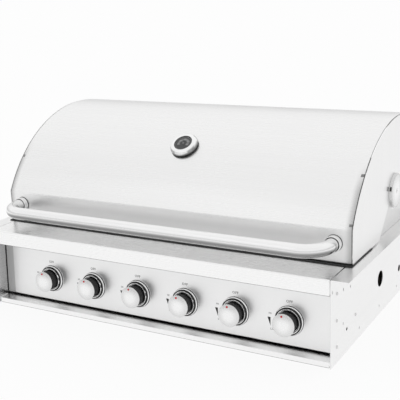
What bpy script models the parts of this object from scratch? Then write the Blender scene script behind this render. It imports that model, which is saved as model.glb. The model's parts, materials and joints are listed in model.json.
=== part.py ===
"""Built-in gas grill with six burners: sheet steel box, hinged lid, knobs, burners and grates.

Metres, +Z up, front towards -Y, +X to the right of someone who stands in front of it.
The origin is on the surface that the box stands on, under the middle of the overall outline.
"""
import math

import bmesh
import bpy
from mathutils import Matrix, Vector

# Box and its sheet steel
BODY_WIDTH = 0.950
BODY_HEIGHT = 0.205
BODY_DEPTH = 0.540
SHEET = 0.0015
SEAM = 0.0003
FLANGE_REACH = 0.040
REAR_FLANGE_REACH = 0.035
CUT_OVERRUN = 0.004

# Openings in the side and rear panels
GAS_HOLE_RADIUS = 0.020
GAS_HOLE_SETBACK = 0.339
GAS_HOLE_HEIGHT = 0.0925
CABLE_HOLE_RADIUS = 0.009
CABLE_HOLE_REAR_MARGIN = 0.041
CABLE_HOLE_HEIGHT = 0.067
CLIP_HOLE_RADIUS = 0.004
CLIP_HOLE_SETBACK = 0.100
CLIP_HOLE_HEIGHT = 0.055
SLOT_WIDTH = 0.0028
SLOT_HEIGHT = 0.0070
SLOT_SHARES = (
    (0.018, 0.848), (0.144, 0.764), (0.226, 0.725), (0.141, 0.377),
    (0.342, 0.115), (0.618, 0.108), (0.889, 0.111),
)
VENT_WIDTH = 0.110
VENT_HEIGHT = 0.014
VENT_FOOT = 0.130
VENT_COUNT = 5

# Top deck with its front lip
FASCIA_HEIGHT = 0.038
FASCIA_RETURN = 0.012
LEDGE_DEPTH = 0.0985

# Firebox, its rim and the ledges inside it
FIREBOX_SIDE_MARGIN = 0.020
FIREBOX_LID_MARGIN = 0.0175
FIREBOX_REAR_MARGIN = 0.019
FIREBOX_FOOT = 0.024
RIM_REACH = 0.006
GRATE_SHELF_REACH = 0.012
TAMER_SHELF_REACH = 0.010
TAMER_SHELF_HEIGHT = 0.116

# Cooking grates
GRATE_COUNT = 3
GRATE_THICKNESS = 0.008
GRATE_DROP = 0.011
GRATE_CLEARANCE = 0.002
GRATE_BAR = 0.008
GRATE_SLOT = 0.0125
GRATE_END_BAR = 0.012
GRATE_CROSS_BAR = 0.009

# Flame tamers, each a sheet with two ridges
TAMER_SHEET = 0.0012
TAMER_FLAT = 0.02075
TAMER_RIDGE_RISE = 0.026
TAMER_GAP = 0.014

# Burner tubes
BURNER_COUNT = 6
BURNER_RADIUS = 0.0127
BURNER_WALL = 0.0014
BURNER_MOUTH_GAP = 0.0117
BURNER_TAIL_RADIUS = 0.0055
BURNER_TAIL_LENGTH = 0.016
BURNER_TAIL_PROTRUSION = 0.003

# Control panel, leaning back between the side panels
PANEL_SETBACK = 0.0382
PANEL_FOOT = 0.016
PANEL_LEAN = math.radians(3.0)
PANEL_RETURN = 0.012
STEM_HOLE_RADIUS = 0.008

# Knob row
KNOB_LEFT_MARGIN = 0.15725
KNOB_RIGHT_MARGIN = 0.11225
KNOB_ROW_HEIGHT = 0.0616
KNOB_RADIUS = 0.025
KNOB_CAP_OVERHANG = 0.002
KNOB_REACH = 0.0385
KNOB_CAP_LENGTH = 0.006
KNOB_STANDOFF = 0.0035
KNOB_WALL = 0.0035
KNOB_EDGE = 0.0015
HUB_RADIUS = 0.007
HUB_SETBACK = 0.004
KNOB_BORE_DEPTH = 0.013
PUSH_TRAVEL = 0.0025
POINTER_RADIUS = 0.0022
POINTER_INSET = 0.0065
POINTER_DEPTH = 0.0006

# Chrome ring round each knob
BEZEL_WIDTH = 0.0079
BEZEL_FLANGE_HEIGHT = 0.0035
BEZEL_STEP_HEIGHT = 0.0055
BEZEL_HEIGHT = 0.011
BEZEL_STEP = 0.004
BEZEL_CLEARANCE = 0.0016

# Valves and their stems
STEM_RADIUS = 0.003
STEM_PLAY = 0.0004
STEM_TIP_GAP = 0.001
VALVE_SETBACK = 0.010
VALVE_LENGTH = 0.034
VALVE_HALF_WIDTH = 0.013
VALVE_HALF_HEIGHT = 0.014
VALVE_BORE_DEPTH = 0.014
VALVE_COLLAR_RADIUS = 0.011
ORIFICE_RADIUS = 0.005
ORIFICE_ENTRY = 0.006

# Gas pipe
MANIFOLD_SIZE = 0.022
MANIFOLD_WALL = 0.0015
MANIFOLD_END_MARGIN = 0.024
INLET_RADIUS = 0.0055
INLET_NUT_RADIUS = 0.0100
INLET_NUT_LENGTH = 0.012
INLET_BEND = 0.020
INLET_HOLE_GAP = 0.039
INLET_SIDE_GAP = 0.00125
INLET_COUPLING_LENGTH = 0.022

# Drip tray and its runners
RUNNER_SHEET = 0.0012
RUNNER_WIDTH = 0.018
RUNNER_HEIGHT = 0.018
RUNNER_CLEARANCE = 0.003
TRAY_SHEET = 0.0012
TRAY_RIM = 0.0122
TRAY_SIDE_PLAY = 0.0008
TRAY_REAR_MARGIN = 0.010
TRAY_LIP_SETBACK = 0.004
TRAY_LIP_HEIGHT = 0.0135
TRAY_LIP_FOOT = 0.0004
TRAY_LIP_RETURN = 0.008
TRAY_LIP_END_GAP = 0.004

# Lid shell
LID_OVERHANG = 0.013
LID_GAP = 0.003
LID_BAND_RISE = 0.0815
LID_RISE = 0.282
LID_ROLL_RADIUS = 0.374
LID_REAR_MARGIN = 0.028
LID_SHEET = 0.0012
LID_HEM = 0.009
LID_TAIL_HEM = 0.012
ROLL_STEPS = 22
CAP_SHEET = 0.0015
CAP_INSET = 0.0004
LINER_INSET = 0.017
LINER_SIDE_INSET = 0.016
LINER_FOOT = 0.006
LINER_TAIL_INSET = 0.010

# Hinge
HINGE_REAR_MARGIN = 0.144
HINGE_DROP = 0.182
HINGE_PIN_RADIUS = 0.005
HINGE_PLAY = 0.0004
HINGE_COVER_RADIUS = 0.043
HINGE_COVER_DEPTH = 0.0068
HINGE_COVER_EDGE = 0.0055
HINGE_COVER_SCREW_RADIUS = 0.007
HINGE_COVER_SCREW_DEPTH = 0.0012
HINGE_PIN_TAIL = 0.007
HINGE_SPACER_RADIUS = 0.010
CAP_LOBE_MARGIN = 0.003
CAP_CUTAWAY_REACH = 0.112
CAP_LOBE_START = math.radians(-148.3)
CAP_TAIL_DROP = 0.038
LOBE_STEPS = 12

# Fixed cowl behind the cooking space
COWL_SIDE_GAP = 0.0082
COWL_RIM_GAP = 0.009
COWL_TOP_RISE = 0.045
WING_FRONT_REACH = 0.134
WING_SHOULDER = 0.030

# Warming rack and the brackets that carry it
BRACKET_REACH = 0.018
BRACKET_RISE = 0.018
BRACKET_REAR_GAP = 0.022
BRACKET_LENGTH = 0.116
RACK_THICKNESS = 0.006
RACK_INSET = 0.003
RACK_BAR = 0.005
RACK_SLOT = 0.013
RACK_RAIL = 0.006

# Handle
HANDLE_TUBE_RADIUS = 0.0159
HANDLE_TUBE_WALL = 0.0016
HANDLE_END_MARGIN = 0.043
HANDLE_RISE = 0.0485
HANDLE_STANDOFF = 0.0795
HANDLE_BEND = 0.058
HANDLE_BEND_STEPS = 7
COLLAR_WALL = 0.0028
COLLAR_LENGTH = 0.014
COLLAR_EDGE = 0.002

# Thermometer
DIAL_LEAN = math.radians(35.2)
GAUGE_OFFSET = 0.005
GAUGE_SLOPE_WIDTH = 0.0107
GAUGE_FOOT_HEIGHT = 0.005
GAUGE_HEIGHT = 0.0145
GAUGE_RIM = 0.002
DIAL_RADIUS = 0.0235
DIAL_RECESS = 0.0045
DIAL_THICKNESS = 0.0015
DIAL_HUB_RADIUS = 0.0030
DIAL_HUB_HEIGHT = 0.0012
GAUGE_STEM_RADIUS = 0.0040
GAUGE_STEM_LENGTH = 0.060
GAUGE_HOLE_PLAY = 0.0015

# Facets of round pieces
FINE_STEPS = 24
ROUND_STEPS = 18
HOLE_STEPS = 12
SMOOTH_ANGLE = math.radians(32.0)
WELD_DISTANCE = 0.00002

# Places worked out from the sizes above
OVERALL_DEPTH = BODY_DEPTH + REAR_FLANGE_REACH
FRONT = -OVERALL_DEPTH / 2
BACK = FRONT + BODY_DEPTH
HALF = BODY_WIDTH / 2
INNER_HALF = HALF - SHEET
SIDE_END = BACK - SHEET - SEAM
DECK_UNDERSIDE = BODY_HEIGHT - SHEET
LID_FRONT = FRONT + LEDGE_DEPTH
FIRE_FRONT = LID_FRONT + FIREBOX_LID_MARGIN
FIRE_BACK = BACK - FIREBOX_REAR_MARGIN
FIRE_HALF = HALF - FIREBOX_SIDE_MARGIN
GRATE_TOP = BODY_HEIGHT - GRATE_DROP
GRATE_SHELF_TOP = GRATE_TOP - GRATE_THICKNESS - SEAM
LID_FOOT = BODY_HEIGHT + LID_GAP
LID_HALF = HALF + LID_OVERHANG
SKIN_HALF = LID_HALF - CAP_SHEET - SEAM
BAND_TOP = BODY_HEIGHT + LID_BAND_RISE
LID_TOP = BODY_HEIGHT + LID_RISE
LID_TAIL_Y = BACK - LID_REAR_MARGIN
ROLL_Z = LID_TOP - LID_ROLL_RADIUS
ROLL_Y = LID_FRONT + math.sqrt(LID_ROLL_RADIUS ** 2 - (BAND_TOP - ROLL_Z) ** 2)
HINGE_Y = BACK - HINGE_REAR_MARGIN
HINGE_Z = LID_TOP - HINGE_DROP
COWL_HALF = SKIN_HALF - COWL_SIDE_GAP
COWL_FRONT = FIRE_BACK + RIM_REACH + COWL_RIM_GAP
BRACKET_BACK = COWL_FRONT - BRACKET_REAR_GAP
HANDLE_HALF_SPAN = LID_HALF - HANDLE_END_MARGIN
HANDLE_Z = BODY_HEIGHT + HANDLE_RISE
KNOB_PITCH = (INNER_HALF * 2 - KNOB_LEFT_MARGIN - KNOB_RIGHT_MARGIN) / (BURNER_COUNT - 1)
KNOB_XS = [KNOB_LEFT_MARGIN - INNER_HALF + KNOB_PITCH * i for i in range(BURNER_COUNT)]
KNOB_FOOT_Y = FRONT + PANEL_SETBACK + KNOB_ROW_HEIGHT * math.sin(PANEL_LEAN)
KNOB_FOOT_Z = PANEL_FOOT + KNOB_ROW_HEIGHT * math.cos(PANEL_LEAN)
KNOB_CAP_RADIUS = KNOB_RADIUS + KNOB_CAP_OVERHANG
VALVE_BACK = VALVE_SETBACK + VALVE_LENGTH
BURNER_MOUTH_Y = KNOB_FOOT_Y + (VALVE_BACK + BURNER_MOUTH_GAP) * math.cos(PANEL_LEAN)
BURNER_Z = KNOB_FOOT_Z - (BURNER_MOUTH_Y - KNOB_FOOT_Y) * math.tan(PANEL_LEAN)
GAUGE_FACE_RADIUS = DIAL_RADIUS + SEAM + GAUGE_RIM
GAUGE_RADIUS = GAUGE_FACE_RADIUS + GAUGE_SLOPE_WIDTH

# Colour, roughness and metallic value of each finish
SATIN_STEEL = ((0.80, 0.80, 0.79), 0.32, 1.0)
BRIGHT_STEEL = ((0.86, 0.86, 0.86), 0.16, 1.0)
DULL_STEEL = ((0.52, 0.52, 0.51), 0.48, 1.0)
CHROME = ((0.90, 0.90, 0.91), 0.06, 1.0)
BRASS = ((0.72, 0.55, 0.28), 0.35, 1.0)
DIAL_BLACK = ((0.04, 0.04, 0.045), 0.30, 0.0)

AXIS_FRAMES = {
    "X": Matrix(((0, 0, 1, 0), (1, 0, 0, 0), (0, 1, 0, 0), (0, 0, 0, 1))),
    "Y": Matrix(((1, 0, 0, 0), (0, 0, -1, 0), (0, 1, 0, 0), (0, 0, 0, 1))),
    "Z": Matrix.Identity(4),
}
AXIS_DIRECTIONS = {"X": Vector((1, 0, 0)), "Y": Vector((0, 1, 0)), "Z": Vector((0, 0, 1))}


def clear_scene():
    """Remove every object that the file holds."""
    for item in list(bpy.data.objects):
        bpy.data.objects.remove(item, do_unlink=True)


def add_collection(name):
    """New collection under the scene's own."""
    collection = bpy.data.collections.new(name)
    bpy.context.scene.collection.children.link(collection)
    return collection


def add_empty(name, location, rotation=(0, 0, 0), parent=None):
    """Frame on a joint's axis, or on a leaning panel, that pieces hang from."""
    empty = bpy.data.objects.new(name, None)
    empty.location = location
    empty.rotation_euler = rotation
    empty.parent = parent
    PARTS.objects.link(empty)
    return empty


def own_material(name, finish):
    """Principled material of one piece."""
    colour, roughness, metallic = finish
    material = bpy.data.materials.new(name)
    material.use_nodes = True
    shader = material.node_tree.nodes["Principled BSDF"]
    shader.inputs["Base Color"].default_value = (*colour, 1)
    shader.inputs["Roughness"].default_value = roughness
    shader.inputs["Metallic"].default_value = metallic
    return material


def frozen(source, frame):
    """Closed mesh object from a curve or a turned profile, moved to its frame."""
    PARTS.objects.link(source)
    evaluated = source.evaluated_get(bpy.context.evaluated_depsgraph_get())
    mesh = bpy.data.meshes.new_from_object(evaluated)
    build = bmesh.new()
    build.from_mesh(mesh)
    bmesh.ops.remove_doubles(build, verts=build.verts, dist=WELD_DISTANCE)
    bmesh.ops.transform(build, matrix=frame, verts=build.verts)
    bmesh.ops.recalc_face_normals(build, faces=build.faces)
    build.to_mesh(mesh)
    build.free()
    name = source.name
    bpy.data.objects.remove(source)
    return bpy.data.objects.new(name, mesh)


def prism(name, outlines, low, high, axis):
    """Flat outline, with any holes after it, drawn out from low to high along an axis."""
    curve = bpy.data.curves.new(name, "CURVE")
    curve.dimensions = "2D"
    curve.fill_mode = "BOTH"
    curve.extrude = (high - low) / 2
    for outline in outlines:
        spline = curve.splines.new("POLY")
        spline.points.add(len(outline) - 1)
        for point, place in zip(spline.points, outline):
            point.co = (*place, 0, 1)
        spline.use_cyclic_u = True
        spline.use_smooth = False
    middle = AXIS_DIRECTIONS[axis] * ((low + high) / 2)
    return frozen(bpy.data.objects.new(name, curve), Matrix.Translation(middle) @ AXIS_FRAMES[axis])


def block(name, low, high):
    """Box between two corners."""
    size = Vector(high) - Vector(low)
    middle = (Vector(high) + Vector(low)) / 2
    mesh = bpy.data.meshes.new(name)
    build = bmesh.new()
    bmesh.ops.create_cube(build, size=1, matrix=Matrix.Translation(middle) @ Matrix.Diagonal((*size, 1)))
    build.to_mesh(mesh)
    build.free()
    return bpy.data.objects.new(name, mesh)


def rods(name, centres, radius, length, axis, steps=HOLE_STEPS):
    """One or more equal cylinders, each centred on a point and lying along an axis."""
    mesh = bpy.data.meshes.new(name)
    build = bmesh.new()
    for centre in centres:
        frame = Matrix.Translation(centre) @ AXIS_FRAMES[axis]
        bmesh.ops.create_cone(build, cap_ends=True, segments=steps, radius1=radius, radius2=radius,
                              depth=length, matrix=frame)
    build.to_mesh(mesh)
    build.free()
    return bpy.data.objects.new(name, mesh)


def turned(name, profile, steps, frame=Matrix.Identity(4), ring=False):
    """Profile of radius and height turned about the frame's Z axis."""
    mesh = bpy.data.meshes.new(name)
    edges = [(i, i + 1) for i in range(len(profile) - 1)]
    if ring:
        edges.append((len(profile) - 1, 0))
    mesh.from_pydata([(radius, 0, height) for radius, height in profile], edges, [])
    lathe = bpy.data.objects.new(name, mesh)
    screw = lathe.modifiers.new("Turn", "SCREW")
    screw.axis = "Z"
    screw.angle = math.tau
    screw.steps = steps
    screw.render_steps = steps
    screw.use_merge_vertices = True
    screw.merge_threshold = WELD_DISTANCE
    piece = frozen(lathe, frame)
    smooth(piece)
    return piece


def smooth(piece):
    """Shade a round piece smooth, apart from its sharp edges."""
    piece.data.shade_smooth()
    piece.data.set_sharp_from_angle(angle=SMOOTH_ANGLE)


def tube(name, path, radius, resolution, capped):
    """Round tube or rod along a path of points."""
    curve = bpy.data.curves.new(name, "CURVE")
    curve.dimensions = "3D"
    curve.bevel_depth = radius
    curve.bevel_resolution = resolution
    curve.use_fill_caps = capped
    spline = curve.splines.new("POLY")
    spline.points.add(len(path) - 1)
    for point, place in zip(spline.points, path):
        point.co = (*place, 1)
    piece = frozen(bpy.data.objects.new(name, curve), Matrix.Identity(4))
    smooth(piece)
    return piece


def arc(centre, radius, start, end, steps):
    """Points on an arc, with the angles in radians and both ends included."""
    turn = (end - start) / steps
    return [
        (centre[0] + radius * math.cos(start + turn * i), centre[1] + radius * math.sin(start + turn * i))
        for i in range(steps + 1)
    ]


def rectangle(low, high):
    """Corners of a flat rectangle."""
    return [(low[0], low[1]), (high[0], low[1]), (high[0], high[1]), (low[0], high[1])]


def sheet_outline(line, thickness):
    """Closed outline of a bent sheet whose one face follows an open line, with mitred bends."""
    inner = []
    for i, point in enumerate(line):
        here = Vector(point)
        before = (here - Vector(line[i - 1])).normalized() if i > 0 else None
        after = (Vector(line[i + 1]) - here).normalized() if i < len(line) - 1 else None
        before = before or after
        after = after or before
        left = (Vector((-before.y, before.x)) + Vector((-after.y, after.x))) / 2
        inner.append(tuple(here + left * (thickness / left.length_squared)))
    return list(line) + inner[::-1]


def apply_boolean(piece, tool, operation):
    """Cut a piece with a tool body, or join one to it."""
    CUTTERS.objects.link(tool)
    tool.hide_render = True
    tool.display_type = "WIRE"
    modifier = piece.modifiers.new(tool.name, "BOOLEAN")
    modifier.solver = "EXACT"
    modifier.operation = operation
    modifier.object = tool
    if piece.parent:
        tool.parent = piece.parent


def cut(piece, tool):
    """Take a tool body away from a piece."""
    apply_boolean(piece, tool, "DIFFERENCE")


def join(piece, extra):
    """Weld an extra body to a piece."""
    apply_boolean(piece, extra, "UNION")


def place(piece, finish, parent=None, in_parent=False):
    """Put a finished piece in the model, with its own material, under its frame."""
    if parent and not in_parent:
        piece.data.transform(Matrix.Translation(-parent.location))
    if not parent:
        corners = [Vector(corner) for corner in piece.bound_box]
        middle = sum(corners, Vector()) / len(corners)
        piece.data.transform(Matrix.Translation(-middle))
        piece.location = middle
    piece.parent = parent
    piece.data.materials.clear()
    piece.data.materials.append(own_material(piece.name, finish))
    PARTS.objects.link(piece)
    return piece


def side_panel(name, side):
    """Side of the box: one sheet whose top edge is bent out over the counter."""
    flange_edge = HALF + FLANGE_REACH
    outline = [
        (INNER_HALF, 0), (HALF, 0), (HALF, DECK_UNDERSIDE), (flange_edge, DECK_UNDERSIDE),
        (flange_edge, BODY_HEIGHT), (INNER_HALF, BODY_HEIGHT),
    ]
    outline = [(side * x, z) for x, z in outline]
    panel = place(prism(name, [outline], FRONT, SIDE_END, "Y"), SATIN_STEEL)
    through = SHEET + CUT_OVERRUN * 2
    holes = (
        ("gas", GAS_HOLE_SETBACK, GAS_HOLE_HEIGHT, GAS_HOLE_RADIUS, FINE_STEPS),
        ("cable", BODY_DEPTH - CABLE_HOLE_REAR_MARGIN, CABLE_HOLE_HEIGHT, CABLE_HOLE_RADIUS, ROUND_STEPS),
        ("clip", CLIP_HOLE_SETBACK, CLIP_HOLE_HEIGHT, CLIP_HOLE_RADIUS, HOLE_STEPS),
    )
    for use, setback, height, radius, steps in holes:
        centre = (side * HALF, FRONT + setback, height)
        cut(panel, rods(f"{name}_{use}_hole", [centre], radius, through, "X", steps))
    for depth_share, height_share in SLOT_SHARES:
        y = FRONT + BODY_DEPTH * depth_share
        z = BODY_HEIGHT * height_share
        low = (side * HALF - through / 2, y - SLOT_WIDTH / 2, z - SLOT_HEIGHT / 2)
        high = (side * HALF + through / 2, y + SLOT_WIDTH / 2, z + SLOT_HEIGHT / 2)
        cut(panel, block(name + "_slot", low, high))


def rear_panel():
    """Back of the box, with its top bent back over the counter and a row of vents."""
    low = (-HALF, BACK - SHEET, 0)
    high = (HALF, BACK, BODY_HEIGHT)
    vent_span = BODY_WIDTH / VENT_COUNT
    vents = [
        rectangle((vent_span * (i + 0.5) - HALF - VENT_WIDTH / 2, VENT_FOOT),
                  (vent_span * (i + 0.5) - HALF + VENT_WIDTH / 2, VENT_FOOT + VENT_HEIGHT))
        for i in range(VENT_COUNT)
    ]
    outline = rectangle((low[0], low[2]), (high[0], high[2]))
    panel = place(prism("rear_panel", [outline] + vents, low[1], high[1], "Y"), SATIN_STEEL)
    flange_half = HALF + FLANGE_REACH
    flange = block("rear_flange", (-flange_half, BACK - SHEET, DECK_UNDERSIDE),
                   (flange_half, BACK + REAR_FLANGE_REACH, BODY_HEIGHT))
    join(panel, flange)


def top_ledge():
    """Deck round the firebox, with the lip that hangs in front of the control panel."""
    deck_half = INNER_HALF - SEAM
    edge = rectangle((-deck_half, FRONT), (deck_half, SIDE_END))
    opening = rectangle((-FIRE_HALF - SEAM, FIRE_FRONT - SEAM), (FIRE_HALF + SEAM, FIRE_BACK + SEAM))
    deck = place(prism("top_ledge", [edge, opening], DECK_UNDERSIDE, BODY_HEIGHT, "Z"), SATIN_STEEL)
    lip_foot = BODY_HEIGHT - FASCIA_HEIGHT
    lip_line = [(FRONT, BODY_HEIGHT), (FRONT, lip_foot), (FRONT + FASCIA_RETURN, lip_foot)]
    lip = prism("fascia_lip", [sheet_outline(lip_line, SHEET)], -deck_half, deck_half, "X")
    join(deck, lip)


def firebox():
    """Open box that holds burners, tamers and grates, hanging in the deck by its rim."""
    outer = rectangle((-FIRE_HALF, FIRE_FRONT), (FIRE_HALF, FIRE_BACK))
    inner = rectangle((-FIRE_HALF + SHEET, FIRE_FRONT + SHEET), (FIRE_HALF - SHEET, FIRE_BACK - SHEET))
    rim_foot = BODY_HEIGHT + SEAM
    rim_top = rim_foot + SHEET
    box = place(prism("firebox", [outer, inner], FIREBOX_FOOT, rim_top, "Z"), DULL_STEEL)
    rim_edge = rectangle((-FIRE_HALF - RIM_REACH, FIRE_FRONT - RIM_REACH),
                         (FIRE_HALF + RIM_REACH, FIRE_BACK + RIM_REACH))
    join(box, prism("firebox_rim", [rim_edge, inner], rim_foot, rim_top, "Z"))
    shelves = (
        ("grate", GRATE_SHELF_TOP, GRATE_SHELF_REACH),
        ("tamer", TAMER_SHELF_HEIGHT, TAMER_SHELF_REACH),
    )
    for kind, top, reach in shelves:
        gap_low = (-FIRE_HALF + SHEET, FIRE_FRONT + SHEET + reach)
        gap_high = (FIRE_HALF - SHEET, FIRE_BACK - SHEET - reach)
        shelf_edge = rectangle((-FIRE_HALF, FIRE_FRONT), (FIRE_HALF, FIRE_BACK))
        join(box, prism(kind + "_shelf", [shelf_edge, rectangle(gap_low, gap_high)], top - SHEET, top, "Z"))
    through = (SHEET + CUT_OVERRUN) * 2
    mouths = [(x, FIRE_FRONT + SHEET / 2, BURNER_Z) for x in KNOB_XS]
    tails = [(x, FIRE_BACK - SHEET / 2, BURNER_Z) for x in KNOB_XS]
    cut(box, rods("burner_mouth_holes", mouths, BURNER_RADIUS + SEAM, through, "Y", ROUND_STEPS))
    cut(box, rods("burner_tail_holes", tails, BURNER_TAIL_RADIUS + SEAM, through, "Y", HOLE_STEPS))


def hinge_spacer(side):
    """Boss on the cowl's wing that keeps the lid's end cap off it."""
    root = COWL_HALF - SHEET / 2
    centre = (side * (root + SKIN_HALF) / 2, HINGE_Y, HINGE_Z)
    return rods("hinge_spacer", [centre], HINGE_SPACER_RADIUS, SKIN_HALF - root, "X", ROUND_STEPS)


def rear_cowl():
    """Fixed back of the cooking space: a wall with a wing at each end that carries the hinge."""
    foot = BODY_HEIGHT + SEAM
    wall_back = COWL_FRONT + SHEET
    top = HINGE_Z + COWL_TOP_RISE
    wall_half = COWL_HALF - SHEET / 2
    wing_back = wall_back - SHEET / 2
    wall = block("rear_cowl", (-wall_half, wall_back - SHEET, foot), (wall_half, wall_back, top))
    cowl = place(wall, SATIN_STEEL)
    wing_line = [
        (HINGE_Y - WING_FRONT_REACH, foot), (wing_back, foot), (wing_back, top),
        (HINGE_Y + WING_SHOULDER, HINGE_Z + WING_SHOULDER),
        (HINGE_Y - WING_SHOULDER, HINGE_Z + WING_SHOULDER),
    ]
    shelf_top = HINGE_Z + BRACKET_RISE
    for side in (-1, 1):
        ends = sorted((side * COWL_HALF, side * (COWL_HALF - SHEET)))
        join(cowl, prism("cowl_wing", [wing_line], ends[0], ends[1], "X"))
        join(cowl, hinge_spacer(side))
        shelf = sorted((side * (COWL_HALF - SHEET / 2), side * (COWL_HALF - SHEET - BRACKET_REACH)))
        join(cowl, block("rack_bracket", (shelf[0], BRACKET_BACK - BRACKET_LENGTH, shelf_top - SHEET),
                         (shelf[1], BRACKET_BACK, shelf_top)))
    bores = [(side * COWL_HALF, HINGE_Y, HINGE_Z) for side in (-1, 1)]
    bore_length = (SKIN_HALF - COWL_HALF + SHEET + CUT_OVERRUN) * 2
    cut(cowl, rods("cowl_hinge_bores", bores, HINGE_PIN_RADIUS + HINGE_PLAY, bore_length, "X", ROUND_STEPS))


def cooking_grate(name, index):
    """Cooking grate: bars from front to back, tied by bars at the ends and across the middle."""
    inside = (FIRE_HALF - SHEET) * 2 / GRATE_COUNT
    left = -FIRE_HALF + SHEET + inside * index + GRATE_CLEARANCE
    right = left + inside - GRATE_CLEARANCE * 2
    front = FIRE_FRONT + SHEET + GRATE_CLEARANCE
    back = FIRE_BACK - SHEET - GRATE_CLEARANCE
    outline = rectangle((left, front), (right, back))
    count = int((right - left - GRATE_BAR) / (GRATE_BAR + GRATE_SLOT))
    pitch = (right - left - GRATE_BAR) / count
    middle = (front + back) / 2
    runs = ((front + GRATE_END_BAR, middle - GRATE_CROSS_BAR / 2),
            (middle + GRATE_CROSS_BAR / 2, back - GRATE_END_BAR))
    slots = [
        rectangle((left + GRATE_BAR + pitch * i, low), (left + pitch * (i + 1), high))
        for i in range(count) for low, high in runs
    ]
    grate = prism(name, [outline] + slots, GRATE_TOP - GRATE_THICKNESS, GRATE_TOP, "Z")
    place(grate, DULL_STEEL)


def flame_tamer(name, index):
    """Ridged sheet that stands over two burners and keeps drips off them."""
    middle = (KNOB_XS[index * 2] + KNOB_XS[index * 2 + 1]) / 2
    foot = TAMER_SHELF_HEIGHT + SEAM
    peak = foot + TAMER_RIDGE_RISE
    half = KNOB_PITCH - TAMER_GAP / 2
    ridge = KNOB_PITCH / 2
    ridge_half = ridge - TAMER_FLAT
    line = [
        (half, foot), (ridge + ridge_half, foot), (ridge, peak), (ridge - ridge_half, foot),
        (ridge_half - ridge, foot), (-ridge, peak), (-ridge - ridge_half, foot), (-half, foot),
    ]
    outline = sheet_outline([(middle + x, z) for x, z in line[::-1]], TAMER_SHEET)
    front = FIRE_FRONT + SHEET + GRATE_CLEARANCE
    back = FIRE_BACK - SHEET - GRATE_CLEARANCE
    place(prism(name, [outline], front, back, "Y"), DULL_STEEL)


def burner(name, x):
    """Burner tube: open mouth over the valve's orifice, closed tail seated in the rear wall."""
    tail_end = FIRE_BACK + BURNER_TAIL_PROTRUSION
    shoulder = tail_end - BURNER_TAIL_LENGTH - BURNER_MOUTH_Y
    bore = BURNER_RADIUS - BURNER_WALL
    profile = [
        (0, tail_end - BURNER_MOUTH_Y), (BURNER_TAIL_RADIUS, tail_end - BURNER_MOUTH_Y),
        (BURNER_TAIL_RADIUS, shoulder), (BURNER_RADIUS, shoulder - BURNER_RADIUS),
        (BURNER_RADIUS, 0), (bore, 0), (bore, shoulder - BURNER_RADIUS - BURNER_WALL),
        (0, shoulder - BURNER_WALL),
    ]
    frame = Matrix.Translation((x, BURNER_MOUTH_Y, BURNER_Z)) @ Matrix.Rotation(-math.pi / 2, 4, "X")
    place(turned(name, profile, HOLE_STEPS, frame), DULL_STEEL)


def warming_rack():
    """Warming rack on the cowl's brackets, above the back of the grates."""
    half = COWL_HALF - SHEET - RACK_INSET
    front = BRACKET_BACK - BRACKET_LENGTH + RACK_INSET
    back = BRACKET_BACK - RACK_INSET
    foot = HINGE_Z + BRACKET_RISE + SEAM
    count = int((half * 2 - RACK_BAR) / (RACK_BAR + RACK_SLOT))
    pitch = (half * 2 - RACK_BAR) / count
    slots = [
        rectangle((-half + RACK_BAR + pitch * i, front + RACK_RAIL),
                  (-half + pitch * (i + 1), back - RACK_RAIL))
        for i in range(count)
    ]
    outline = rectangle((-half, front), (half, back))
    place(prism("warming_rack", [outline] + slots, foot, foot + RACK_THICKNESS, "Z"), DULL_STEEL)


def control_panel(frame):
    """Control panel: polished sheet with a hole for each valve stem and both long edges turned back."""
    half = INNER_HALF - SEAM
    height = (DECK_UNDERSIDE - SEAM - PANEL_FOOT) / math.cos(PANEL_LEAN)
    line = [(PANEL_RETURN, 0), (0, 0), (0, height), (PANEL_RETURN, height)]
    outline = sheet_outline(line[::-1], SHEET)
    panel = place(prism("control_panel", [outline], -half, half, "X"), BRIGHT_STEEL, frame, in_parent=True)
    holes = [(x, SHEET / 2, KNOB_ROW_HEIGHT) for x in KNOB_XS]
    cut(panel, rods("stem_holes", holes, STEM_HOLE_RADIUS, (SHEET + CUT_OVERRUN) * 2, "Y", HOLE_STEPS))


def bezel(name, axis):
    """Stepped chrome ring that stands on the panel round a knob."""
    bore = KNOB_RADIUS + BEZEL_CLEARANCE
    edge = bore + BEZEL_WIDTH
    shoulder = edge - BEZEL_STEP
    crown = (shoulder + bore) / 2
    profile = [
        (edge, SEAM), (bore, SEAM), (bore, BEZEL_STEP_HEIGHT + BEZEL_FLANGE_HEIGHT),
        (crown, BEZEL_HEIGHT), (shoulder, BEZEL_STEP_HEIGHT + BEZEL_FLANGE_HEIGHT),
        (shoulder, BEZEL_STEP_HEIGHT), (edge - BEZEL_STEP / 2, BEZEL_STEP_HEIGHT),
        (edge, BEZEL_FLANGE_HEIGHT),
    ]
    place(turned(name, profile, FINE_STEPS, ring=True), CHROME, axis, in_parent=True)


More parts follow.
